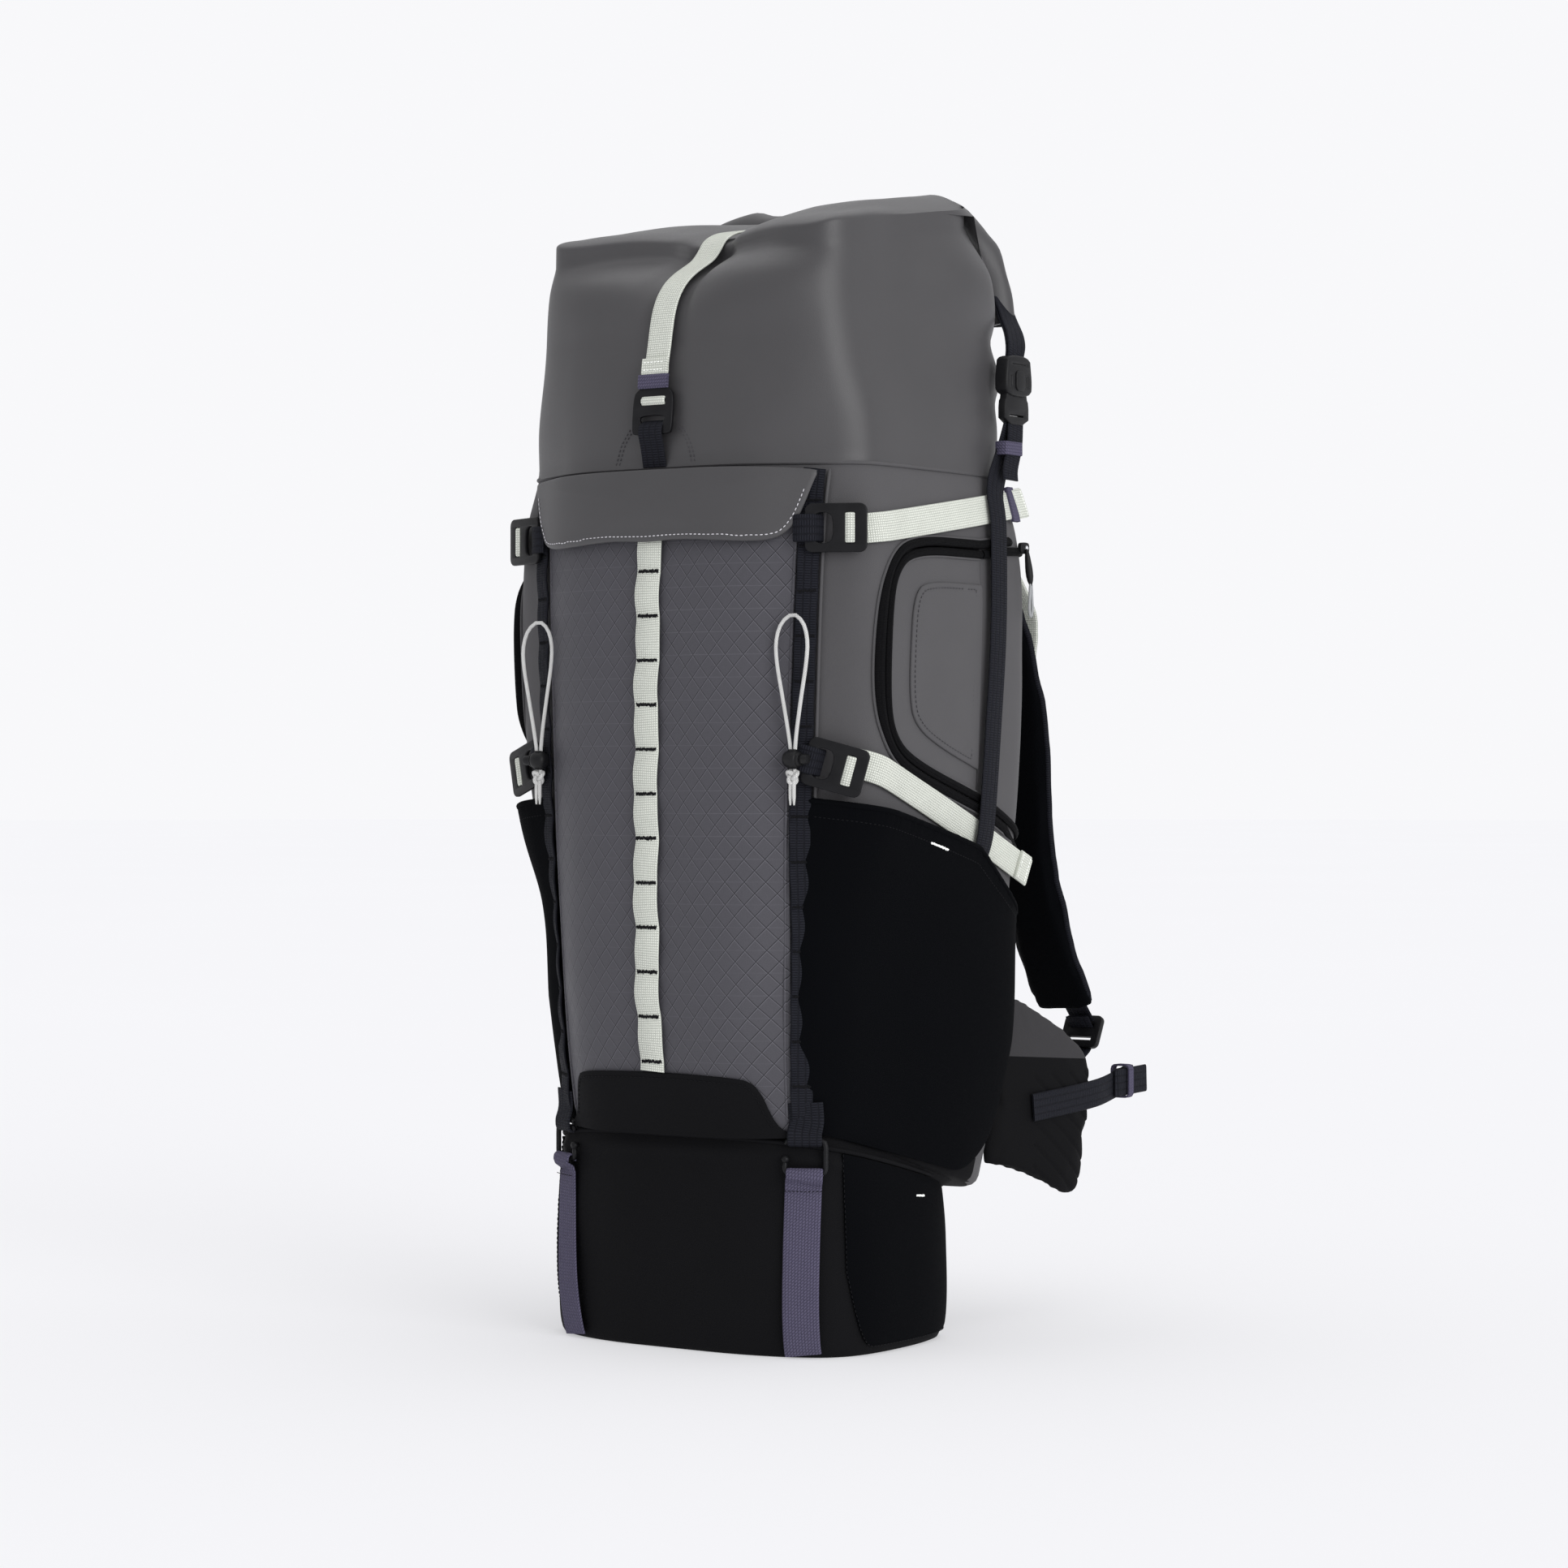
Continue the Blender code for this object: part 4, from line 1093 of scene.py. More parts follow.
def band_thickness(side, path):
    """The left zip's front run is a padded rim; the rest lies flat."""
    z = np.asarray(path)[:, 1]
    fore = np.asarray(path)[:, 0] < -0.045
    swell = np.clip((z - 0.415) / 0.025, 0, 1) * np.clip((0.532 - z) / 0.025, 0, 1)
    padded = 0.0030 * np.sin(0.5 * math.pi * swell) * fore * (side < 0)
    return 0.0012 + padded


def make_zip(side, tag):
    """The body's half of the zip, its slider and the slider's cord pull."""
    place = BODY.flank(side)
    line = zip_path()
    band_on(f"zip_band_{tag}", place, line, 0.0003, ZIP_BAND + 0.0003, 0.0012,
            band_thickness(side, line), TAPE, "pack", crown=0.0015)
    for level, part in (("top", line[:3][::-1]), ("low", line[-3:])):
        start = [(DOOR_HINGE_Y + 0.0006, 0.5457 if level == "top" else 0.3714)]
        run = np.vstack([start, part])
        if level == "top":
            run = run[::-1]
        run = resample(chaikin(run, 1, closed=False), 0.004)
        band_on(f"zip_band_{level}_{tag}", place, run, -ZIP_BAND, -0.0003, 0.0010, 0.0012,
                TAPE, "pack", crown=0.0013)
    piping = offset(line, ZIP_BAND + 0.0008, closed=False)
    tube(f"zip_piping_{tag}", place(piping[:, 0], piping[:, 1], 0.0008), 0.0010, TWILL, "pack",
         sides=6)
    low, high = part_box(f"zip_slider_{tag}")
    middle = (low + high) / 2
    x = min(abs(low.x), abs(high.x))
    shape = chaikin([(-.0050, -.0022), (-.0030, -.0034), (.0040, -.0034), (.0050, -.0020),
                     (.0050, .0020), (.0040, .0034), (-.0030, .0034), (-.0050, .0022)], 2)
    plate(f"slider_body_{tag}", shape, [], 0.0032, (side * (x + 0.0004), middle.y, middle.z),
          (0, side, 0), (0, 0, 1), METAL, f"zip_slider_{tag}",
          replaces=(f"zip_slider_{tag}",))
    rivet = [(0, .0016), (.0010, .0016), (.0016, .0011), (.0018, .0003)]
    revolved(f"slider_rivet_{tag}", rivet, (side * (x + 0.0036), middle.y + 0.0006, middle.z),
             (side, 0, 0), ALUMINIUM, f"zip_slider_{tag}", sides=16)
    low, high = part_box(f"zip_pull_{tag}")
    pull = f"zip_pull_{tag}"
    x = side * (min(abs(low.x), abs(high.x)) + 0.0052)
    y, top = (low.y + high.y) / 2, high.z
    tube(f"pull_sleeve_{tag}", [(x - side * 0.0036 * (1 - d / 0.027), y, top - d)
                                for d in np.linspace(0.0005, 0.0270, 9)],
         np.array([1.3, 1.7, 2.0, 2.3, 2.6, 2.7, 2.6, 2.2, 1.8]) / 1000, PLASTIC, pull,
         replaces=(f"zip_pull_{tag}",))
    bend = [(x, y + 0.0007, top - 0.0250), (x, y + 0.0014, top - 0.0330),
            (x, y + 0.0021, top - 0.0420), (x, y + 0.0012, top - 0.0470),
            (x, y, top - 0.0485), (x, y - 0.0012, top - 0.0470),
            (x, y - 0.0021, top - 0.0420), (x, y - 0.0014, top - 0.0330),
            (x, y - 0.0007, top - 0.0250)]
    tube(f"pull_loop_{tag}", route(bend, 0.0015), 0.0010, PULL_CORD, pull, sides=8)


# The roll top

def roll_top_rings():
    """The grey top from its seam up over the lobes either side of the centre strap."""
    ts = np.linspace(0, 8, 105)
    crest = spline(COLLAR.controls[-1], ts)
    crest_z = top_height(crest[:, 1]) + 0.009 + 0.006 * np.exp(-((ts - 3.0) / 0.9) ** 2)
    foot = COLLAR.heights[0]
    rings = [skin_ring(COLLAR, ts, np.full(len(ts), foot + 0.003), -0.0040),
             skin_ring(COLLAR, ts, np.full(len(ts), foot + 0.0003), -0.0026)]
    for share in np.linspace(0, 1, 46):
        zs = foot + (crest_z - foot) * share
        pinch = np.exp(-((ts - 6.0) / 0.45) ** 2) * np.sin(math.pi * min(1, share * 1.15)) ** 2
        gather = -0.0045 * pinch * (0.5 + 0.5 * np.sin(zs * 150 + 3 * ts))
        hem = 0.0012 * math.exp(-(share / 0.02) ** 2)
        rings.append(skin_ring(COLLAR, ts, zs, gather + hem, 0.0016 * min(1, share * 6)))
    edge, before = rings[-1], rings[-3]
    lead = unit(edge - before)
    x = edge[:, 0]
    rise = np.where(x > 0, 0.019, 0.010) * smooth_step(abs(x), 0.004, 0.050)
    ridge_z = 0.779 + rise - 0.024 * smooth_step(abs(x), 0.095, 0.140)
    ridge = np.stack([0.985 * x, np.full(len(edge), 0.074), ridge_z], 1)
    first = edge + 0.010 * lead
    second = ridge + 0.45 * (edge - ridge) + (0, 0, 0.003)
    for s in np.linspace(0, 1, 24)[1:]:
        rings.append((1 - s) ** 3 * edge + 3 * s * (1 - s) ** 2 * first
                     + 3 * s * s * (1 - s) * second + s ** 3 * ridge)
    rings += roll_neck(ridge, np.clip((0.010 - edge[:, 1]) / 0.040, -1, 1))
    rings = np.array(rings)
    x, y, z = rings[..., 0], rings[..., 1], rings[..., 2]
    high = np.clip((z - 0.690) / 0.055, 0, 1)
    fore = np.clip((0.070 - y) / 0.060, 0, 1)
    lobe = np.exp(-((abs(x) - 0.070) / 0.048) ** 2) * high * fore
    valley = np.exp(-(x / 0.018) ** 2) * np.clip((z - 0.655) / 0.06, 0, 1) * fore
    lift = 0.0066 * lobe - 0.0036 * valley
    ripple = crumple(rings.reshape(-1, 3), 0.045, 1.0, 7.0).reshape(x.shape)
    lift = lift + 0.0014 * high * ripple * (1 - valley)
    rings = rings + lift[..., None] * np.array([0.0, -0.55, 0.83])
    rear = smooth_step(rings[..., 1], -0.02, 0.06) * smooth_step(rings[..., 2], 0.690, 0.745)
    rings[..., 0] += np.sign(x) * 0.013 * rear * smooth_step(abs(x), 0.070, 0.120)
    channel = (1 - smooth_step(abs(x), 0.0115, 0.026)) * (y < 0.073)
    middle = rings[:, :1, 1:]
    rings[..., 1:] += channel[..., None] * (middle - rings[..., 1:])
    return rings


def roll_neck(ridge, layer):
    """The two layers of the bag's mouth, pressed together, on their way into the roll."""
    along, height = np.array(ROLL_LINE).T
    target = np.stack([0.97 * ridge[:, 0], np.full(len(ridge), 0.099),
                       np.interp(abs(ridge[:, 0]), along, height)], 1)
    rings = []
    for s in np.linspace(0, 1, 9)[1:]:
        ring = ridge + s * (target - ridge)
        ring[:, 2] += 0.0010 * layer - 0.006 * math.sin(math.pi * s)
        rings.append(ring)
    return rings


def smooth_step(value, low, high):
    share = np.clip((value - low) / (high - low), 0, 1)
    return share * share * (3 - 2 * share)


def make_roll_top():
    rings = roll_top_rings()
    swept("roll_top_bag", rings, COATED, "pack", replaces=("roll_top_collar",), sharp=60.0)
    make_roll()
    make_centre_strap(rings[:, 0])
    for side in (1, -1):
        line = route([(side * .0305, .6015, 0), (side * .0262, .6150, 0),
                      (side * .0190, .6260, 0)], 0.003)
        for shift in (0.0, 0.0028):
            spots = COLLAR.front(line[:, 0] + side * shift, line[:, 1], 0.0004)
            stitch_line("pack", "grey", spots, 0.0020, 0.0011)


ROLL_LINE = ((0, .7745), (.030, .7775), (.066, .7830), (.092, .7810), (.110, .7690),
             (.1215, .7500), (.1275, .7280), (.1305, .7080))


def make_roll():
    """The rolled closure: a spiral of cloth whose ends turn down to their buckles."""
    half = route([(x, 0, z) for x, z in ROLL_LINE], 0.004)
    line = np.vstack([half[::-1] * (-1, 1, 1), half[1:]])
    run = unit(np.gradient(line, axis=0))
    out = np.stack([-run[:, 2], 0 * run[:, 0], run[:, 0]], 1)
    bend = smooth_step(abs(np.linspace(-1, 1, len(line))), 0.45, 1.0)
    turns = np.linspace(0, 2 * math.pi * 2.15, 96)
    grids = []
    for inward in (0.0, 0.0016):
        grid = []
        for turn in turns:
            girth = 0.0180 - 0.0062 * bend
            reach = girth * (0.50 + 0.50 * turn / turns[-1]) - inward
            row = line + out * (1.05 * reach * np.sin(turn + 2.4 + 0.5 * bend))[:, None]
            row[:, 1] = 0.103 + 0.014 * bend + 0.86 * reach * np.cos(turn + 2.4)
            grid.append(row)
        grid = np.array(grid)
        wave = crumple(grid.reshape(-1, 3), 0.022, 0.0036, 1.5).reshape(grid.shape[:2])
        grids.append(grid + wave[..., None] * np.array([0, 0.5, 0.8]))
    slab("roll_top_roll", grids[0], grids[1], COATED, "pack", replaces=("roll_top_closure",),
         sharp=60.0)


def make_centre_strap(column):
    """The strap over the top, following the bag's own centre line, and its front hook."""
    bag = route([tuple(p) for p in column[8:] if p[2] > 0.668 and p[1] < 0.066], 0.004)
    for _ in range(10):
        bag[1:-1] = 0.5 * bag[1:-1] + 0.25 * (bag[:-2] + bag[2:])
    rise = unit(np.gradient(bag, axis=0))
    out = np.stack([0 * rise[:, 0], -rise[:, 2], rise[:, 1]], 1)
    over = bag + 0.0042 * out
    start = COLLAR.front(np.zeros(3), np.array([.6480, .6560, .6640]),
                         np.array([.0046, .0046, .0034]))
    tail = [(0, .0800, .7935), (0, .1010, .7990), (0, .1200, .7920), (0, .1290, .7740),
            (0, .1290, .7200), (0, .1250, .6400), (0, .1215, .6060)]
    path = route(np.vstack([start, over[::3], tail]), 0.004)
    webbing("top_strap", path, (-1, 0, 0), WEBBING, WHITE, "pack", replaces=("centre_strap",))
    face = COLLAR.front
    band_on("top_strap_fold", face, [(-.0104, .6665), (0, .6665), (.0104, .6665)], -.0055,
            .0055, 0.0054, 0.0016, WHITE, "pack")
    for level in (0.6640, 0.6690):
        line = face(np.linspace(-.0088, .0088, 9), np.full(9, level), 0.0072)
        stitch_line("pack", "white", line, 0.0020, 0.0008, 0.0004)
    band_on("top_strap_keeper", face, [(-.0122, .6565), (0, .6565), (.0122, .6565)], -.0048,
            .0048, 0.0050, 0.0026, VIOLET, "pack")
    base = Vector(face(0.0, 0.638, 0.0))
    v_axis = Vector((0, 0.10, 1)).normalized()
    out_axis = Vector((1, 0, 0)).cross(v_axis)
    origin = base + out_axis * 0.0032
    outline = chaikin([(-.0160, -.0150), (-.0140, -.0172), (.0140, -.0172), (.0160, -.0150),
                       (.0160, .0085), (.0130, .0125), (.0035, .0172), (-.0035, .0172),
                       (-.0130, .0125), (-.0160, .0085)], 2)
    slots = [rounded_box(-.0112, .0112, .0016, .0088, .0014),
             chaikin([(-.0112, -.0040), (-.0112, -.0085), (-.0080, -.0120), (.0080, -.0120),
                      (.0112, -.0085), (.0112, -.0040)], 2)]
    plate("top_hook", outline, slots, 0.0030, origin, (1, 0, 0), v_axis, METAL, "pack",
          bevel=0.0008, replaces=("centre_hook",))

    def at(v, out):
        return origin + v_axis * v + out_axis * out

    loop = route([at(.0005, -.0010), at(.0022, .0010), at(.0050, .0034), at(.0078, .0022),
                  at(.0096, -.0006)], 0.0015)
    webbing("top_hook_loop", loop, (-1, 0, 0), 0.0200, WHITE, "pack")
    strap = [face(0.0, z, d) for z, d in
             ((.5990, .0012), (.6060, .0030), (.6130, .0050))]
    strap += [at(-.0180, .0040), at(-.0145, .0044), at(-.0110, .0030), at(-.0085, -.0010)]
    webbing("top_hook_anchor", route(strap, 0.003), (-1, 0, 0), WEBBING, NAVY, "pack")


# The front

def make_front():
    zs = np.linspace(0.150, 0.594, 84)
    shares = np.linspace(-1, 1, 45)
    z, share = np.meshgrid(zs, shares, indexing="ij")
    x = share * (0.092 + 0.011 * (z - 0.17) / 0.4)
    flat = np.stack([x, 0 * x, z], -1)
    pucker = crumple(flat.reshape(-1, 3), 0.040, 0.0009, 9.0).reshape(x.shape)
    top = BODY.front(x, z, 0.0030 + pucker)
    slab("front_panel", top, BODY.front(x, z, 0.0008), RIPSTOP, "pack",
         replaces=("front_pocket_panel",))
    half = [(.091, .1465), (.091, .1505), (.083, .1550), (.0785, .1660), (.0745, .1810),
            (.0650, .1905)]
    shield = chaikin(half + [(-x, z) for x, z in reversed(half)], 3)
    sheet_on("front_guard", BODY.front, shield, 0.0036, 0.0020, BLACK, "pack",
             replaces=("front_shield",))
    rim = offset(turned_left(resample(shield, 0.004, closed=True)), -0.0035)
    rim = rim[rim[:, 1] > 0.152]
    rim = from_gap(rim)
    stitch_line("pack", "dark", BODY.front(rim[:, 0], rim[:, 1], 0.0058), 0.0024, 0.0012)
    make_daisy_chain()
    make_flap()


TACK_FOOT, TACK_PITCH, TACKS = 0.198, 0.030, 12


def make_daisy_chain():
    """The white webbing down the middle, sewn down at every bartack and slack between."""
    zs = np.linspace(0.1915, 0.592, 150)
    slack = np.abs(np.sin(math.pi * (zs - TACK_FOOT) / TACK_PITCH)) ** 1.3
    sway = 0.0007 * np.sin(zs * 95)
    path = BODY.front(sway, zs, 0.0050 + 0.0014 * slack)
    webbing("centre_daisy_chain", path, (1, 0, 0), WEBBING, WHITE, "pack", wave=0.00025,
            replaces=("front_daisy_chain",))
    for k in range(TACKS):
        z = TACK_FOOT + TACK_PITCH * k
        spot = BODY.front(0.0, z, 0.0060)
        bartack("pack", "dark", spot, (1, 0, 0), (0, 0, 1), 0.0170, 0.0022, k)


EDGE_TACK_FOOT, EDGE_TACKS = 0.183, 14


def edge_x(z):
    """How far the edge webbing is from the middle at a height: it leans out going up."""
    return 0.0968 + 0.0155 * (z - 0.166) / 0.42


def make_edge_webbing(side, tag):
    """The dark webbing up each front edge, with a bartack at each loop."""
    zs = np.linspace(0.158, 0.594, 150)
    xs = side * edge_x(zs)
    slack = np.abs(np.sin(math.pi * (zs - EDGE_TACK_FOOT) / TACK_PITCH)) ** 1.2
    path = BODY.front(xs, zs, 0.0046 + 0.0011 * slack)
    across = BODY.front(xs + 0.005, zs) - BODY.front(xs - 0.005, zs)
    webbing(f"edge_webbing_{tag}", path, across, EDGE_WEBBING, NAVY, "pack", wave=0.0002,
            replaces=(f"edge_daisy_chain_{tag}",))
    for k in range(EDGE_TACKS):
        z = EDGE_TACK_FOOT + TACK_PITCH * k
        x = side * edge_x(z)
        spot = BODY.front(x, z, 0.0054)
        wide = BODY.front(x + .004, z) - BODY.front(x - .004, z)
        bartack("pack", "dark", spot, wide, (0, 0, 1), 0.0130, 0.0020, k + 40)
    for shift in (-0.0085, 0.0085):
        line = BODY.front(xs + side * shift, zs, 0.0026)
        tube(f"edge_piping_{tag}_{'in' if shift < 0 else 'out'}", line, 0.0013,
             RIPSTOP if shift < 0 else TWILL, "pack", sides=8)


def make_flap():
    """The flap over the front pocket's mouth, from its top seam down."""
    half = [(0.0, .5475), (.030, .5485), (.060, .5465), (.082, .5455), (.094, .5485),
            (.103, .5580), (.108, .5700), (.113, .5860), (.117, .5965)]
    outline = half + [(-x, z) for x, z in reversed(half[1:])]
    outline = chaikin(outline, 3, closed=False)

    def swell(x, z):
        points = np.stack([x, 0 * x, z], 1)
        rolled = 0.0010 * np.exp(-((0.5500 - z) / 0.004) ** 2)
        return crumple(points, 0.06, 0.0010, 12.0) + rolled * (z < 0.58)

    flap = sheet_on("front_flap_cover", BODY.front, outline, 0.0078, 0.0022, COATED,
                    crown=0.0022, relief=swell, replaces=("front_flap",))
    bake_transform(flap)
    edge = turned_left(resample(outline, 0.003, closed=True))
    line = offset(edge, -0.0034)
    line = line[line[:, 1] < 0.583]
    line = from_gap(line)
    seam = laid_on(flap, BODY.front(line[:, 0], line[:, 1], 0.015))
    stitch_line("front_flap", "pale", seam, 0.0022, 0.0012, 0.0004)


# Compression straps on the sides

def make_compression(side, tag, level):
    upper = level == "upper"
    height, tilt = (0.5545, 0.0) if upper else (0.4010, 0.30)
    start = Vector((side * 0.1125, -0.0945, height))
    along = Vector((side * 0.0385, 0.0170, -0.0385 * tilt)).normalized()
    out = Vector((side * 0.0170, -0.0385, 0)).normalized()
    up = along.cross(out) * -side
    v_axis = up * side
    outline = rounded_box(0.0, .0405, -.0155, .0155, .0042)
    gate = chaikin([(.0040, -.0070), (.0075, -.0110), (.0150, -.0110), (.0190, -.0070),
                    (.0190, .0070), (.0150, .0110), (.0075, .0110), (.0040, .0070)], 1)
    slot = rounded_box(.0258, .0338, -.0110, .0110, .0016)
    plate(f"{level}_hook_{tag}", outline, [gate, slot], 0.0030, start, along, v_axis, METAL,
          "pack", bevel=0.0008, replaces=(f"{level}_compression_hook_{tag}",))

    def at(s, rise):
        return start + along * s + out * rise

    loop = [at(.0400, -.0004), at(.0352, -.0006), at(.0330, .0016), at(.0298, .0036),
            at(.0268, .0018), at(.0245, -.0008)]
    webbing(f"{level}_hook_loop_{tag}", route(loop, 0.0015), up, WEBBING, WHITE, "pack")
    anchor = [at(-.0085, .0020), at(-.0040, .0044), at(.0010, .0048), at(.0050, .0036),
              at(.0085, .0002), at(.0105, -.0030)]
    webbing(f"{level}_hook_anchor_{tag}", route(anchor, 0.0015), up, 0.0185, NAVY, "pack")
    skin = BODY.flank(side)

    def place(y, z, proud=0.0):
        held = skin(np.minimum(y, 0.086), z, proud)
        return held + (0, 1, 0) * np.maximum(0.0, np.asarray(y) - 0.086)[..., None]

    ys = np.linspace(-0.0740, 0.116 if upper else 0.124, 56)
    foot, slope = (0.5560, 0.145) if upper else (0.3925, -0.385)

    def strap_z(y):
        return foot + slope * (y + 0.058)

    zs = strap_z(ys)
    sag = 0.0022 + 0.0016 * np.exp(-((ys + 0.074) / 0.02) ** 2)
    path = place(ys, zs, sag)
    across = place(ys, zs + 0.004) - place(ys, zs - 0.004)
    webbing(f"{level}_strap_{tag}", path, side * across, WEBBING, WHITE, "pack",
            replaces=(f"{level}_compression_strap_{tag}",))
    far = 0.1085 if upper else 0.1130
    z = strap_z(far)
    fold = [(far + d, z + slope * d) for d in (-.0065, 0, .0065)]
    band_on(f"{level}_strap_fold_{tag}", place, fold, -.0103, .0103, 0.0034, 0.0018, WHITE,
            "pack")
    for d in (-.0045, .0045):
        ends = [(far + d - slope * v, z + slope * d + v) for v in np.linspace(-.0085, .0085, 8)]
        ends = np.array(ends)
        stitch_line("pack", "white", place(ends[:, 0], ends[:, 1], 0.0054), 0.0018, 0.0008)
    if upper:
        ring = [(0.1000, strap_z(0.1000) + v) for v in np.linspace(-.0118, .0118, 5)]
        band_on(f"{level}_strap_keeper_{tag}", place, ring, -.0042, .0042, 0.0020, 0.0030,
                VIOLET, "pack")


def make_side_strap(side, tag):
    """The long webbing from the pocket up to the roll top's buckle, with its keeper."""
    place = BODY.flank(side)
    lower = [place(y, z, lift) for y, lift, z in
             ((.0500, .0030, .3100), (.0530, .0046, .3270), (.0560, .0064, .3450),
              (.0575, .0064, .3600), (.0590, .0060, .3800),
              (.0620, .0058, .4200), (.0660, .0056, .4900), (.0700, .0058, .5600),
              (.0740, .0060, .5850))]
    upper = [(side * .1520, .0850, .6060), (side * .1545, .0915, .6260),
             (side * .1560, .0950, .6385)]
    path = route(np.vstack([lower, upper]), 0.004)
    prongs = f"buckle_prongs_{tag}"
    strap = webbing(f"long_strap_{tag}", path, (0, 1, 0), WEBBING, NAVY,
                    replaces=(f"side_strap_{tag}",))
    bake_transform(strap)
    tail = route([(side * .1580, .0960, .6370), (side * .1590, .0930, .6200),
                  (side * .1575, .0900, .6040), (side * .1580, .0895, .5960)], 0.003)
    webbing(f"long_strap_tail_{tag}", tail, (0, 1, 0), WEBBING * 0.96, NAVY, prongs)
    centre = np.array((side * .1560, .0905, .6180))
    box = np.array(rounded_box(-.0042, .0042, -.0112, .0112, .0015))
    path = [centre + (side * u, v, 0) for u, v in box]
    path.append(path[0])
    webbing(f"long_strap_keeper_{tag}", resample(path, 0.002), (0, 0, 1), 0.0095, VIOLET,
            prongs, thickness=0.0013)


def make_buckle(side, tag):
    """A side-release buckle: a socket on the roll's tab, and a fork that slides out of it."""
    x, y = 0.1565, 0.0955
    shell = chaikin([(-.0145, -.0125), (.0145, -.0125), (.0155, -.0040), (.0140, .0060),
                     (.0130, .0125), (-.0130, .0125), (-.0140, .0060), (-.0155, -.0040)], 2)
    windows = [rounded_box(.0080, .0118, -.0085, .0010, .0012),
               rounded_box(-.0118, -.0080, -.0085, .0010, .0012),
               rounded_box(-.0104, .0104, .0068, .0096, .0010)]
    plate(f"buckle_shell_{tag}", shell, windows, 0.0105,
          (side * (x - 0.0052), y, 0.66875), (0, side, 0), (0, 0, 1), PLASTIC, "pack",
          bevel=0.0018, replaces=(f"buckle_socket_{tag}",))
    rib = rounded_box(-.0050, .0050, -.0100, .0030, .0030)
    plate(f"buckle_rib_{tag}", rib, [], 0.0018, (side * (x + 0.0046), y, 0.66875),
          (0, side, 0), (0, 0, 1), PLASTIC, "pack", bevel=0.0006)
    half = [(.0145, -.0095), (.0145, .0045), (.0118, .0078), (.0114, .0200), (.0090, .0245),
            (.0076, .0200), (.0070, .0085), (.0028, .0085), (.0020, .0190)]
    fork = half + [(-u, v) for u, v in reversed(half)]
    slot = rounded_box(-.0104, .0104, -.0060, -.0028, .0010)
    plate(f"buckle_fork_{tag}", chaikin(fork, 1), [slot], 0.0064,
          (side * (x - 0.0032), y, 0.6455), (0, side, 0), (0, 0, 1), PLASTIC,
          f"buckle_prongs_{tag}", bevel=0.0012, replaces=(f"buckle_prongs_{tag}",))
    tab = route([(side * .1320, .1165, .7260), (side * .1400, .1130, .7120),
                 (side * .1500, .1050, .6990), (side * .1550, .0985, .6890),
                 (side * .1562, .0955, .6785)], 0.003)
    for step in (0, 1):
        shift = np.array((side * 0.0019 * step, 0, 0))
        webbing(f"buckle_tab_{tag}_{step}", tab + shift, (0, 1, 0), WEBBING, NAVY, "pack")


# Stretch pockets, bin and its straps

def make_side_pocket(side, tag):
    """The stretch pocket from the front edge round to the back corner."""
    place = BODY.wrap(side)
    ts = np.linspace(2.05, 6.10, 92)
    ys = BODY.plan(ts, np.full(len(ts), 0.250))[:, 1]
    high = 0.3740 - 0.27 * (ys + 0.085) - 0.40 * np.maximum(0.0, ys - 0.040)
    rear = np.clip((ys - 0.055) / 0.060, 0, 1)
    low = floor_height(ys) + 0.006 + 0.050 * rear ** 2
    rows = np.linspace(0, 1, 44)
    across = np.sin(math.pi * np.linspace(0, 1, len(ts))) ** 0.5
    grids = []
    for depth in (0.0, 0.0022):
        grid = []
        for row in rows:
            z = low + (high - low) * row
            stand = 0.0030 + 0.0098 * across * min(1.0, row / 0.4) ** 0.8
            spots = place(ts, z)
            folds = crumple(spots, 0.060, 0.0020, 15.0 + side) * min(1.0, row * 5)
            gather = 0.0005 * np.sin(ts * 60) * max(0.0, row - 0.90) * 10
            grid.append(place(ts, z, stand - depth + folds * across + gather * across))
        grids.append(np.array(grid))
    pocket = slab(f"stretch_pocket_{tag}", grids[0], grids[1], STRETCH, "pack",
                  replaces=(f"side_pocket_{tag}",))
    edge = grids[0][-1] * 0.5 + grids[1][-1] * 0.5
    tube(f"stretch_pocket_hem_{tag}", resample(edge, 0.004), 0.0021, STRETCH, "pack", sides=10)
    below = grids[0][-3]
    stitch_line("pack", "dark", below[4:-4], 0.0020, 0.0012)
    middle = int(np.argmin(abs(ys + 0.0050)))
    spot = grids[0][-3][middle]
    along = grids[0][-3][middle + 1] - grids[0][-3][middle - 1]
    upward = grids[0][-2][middle] - grids[0][-4][middle]
    spot = laid_on(pocket, [spot], 0.0006)[0]
    bartack("pack", "white", spot, along, upward, 0.0210, 0.0013, 77, 0.0005)


def make_bin():
    """The bottom bag, hung under the body, with a stretch pocket on each side."""
    ts = np.linspace(0, 8, 80)
    rim = rim_height(spline(BIN.controls[-1], ts)[:, 1])
    rings = [skin_ring(BIN, ts, np.zeros(80), -inset) for inset in (.030, .010, .003)]
    rings += [skin_ring(BIN, ts, np.full(80, lift), -inset)
              for inset, lift in ((.0008, .0010), (0.0, .0035))]
    for share in np.linspace(0.05, 1.0, 42):
        uneven = 0.0022 * math.sin(math.pi * min(1.0, share * 1.02))
        slump = 0.0016 * math.exp(-((share - 0.93) / 0.03) ** 2)
        rings.append(skin_ring(BIN, ts, rim * share, slump, uneven))
    rings += [skin_ring(BIN, ts, rim, -inset) for inset in (.004, .020)]
    swept("bottom_bag", rings, BLACK, "pack", replaces=("bottom_bin",), sharp=60.0)
    seam = skin_ring(BIN, ts, rim - 0.0006, 0.0008)
    tube("bottom_bag_rim", seam, 0.0017, BLACK, "pack", closed=True, sides=8)
    for side, tag in SIDES:
        make_bin_pocket(side, tag)


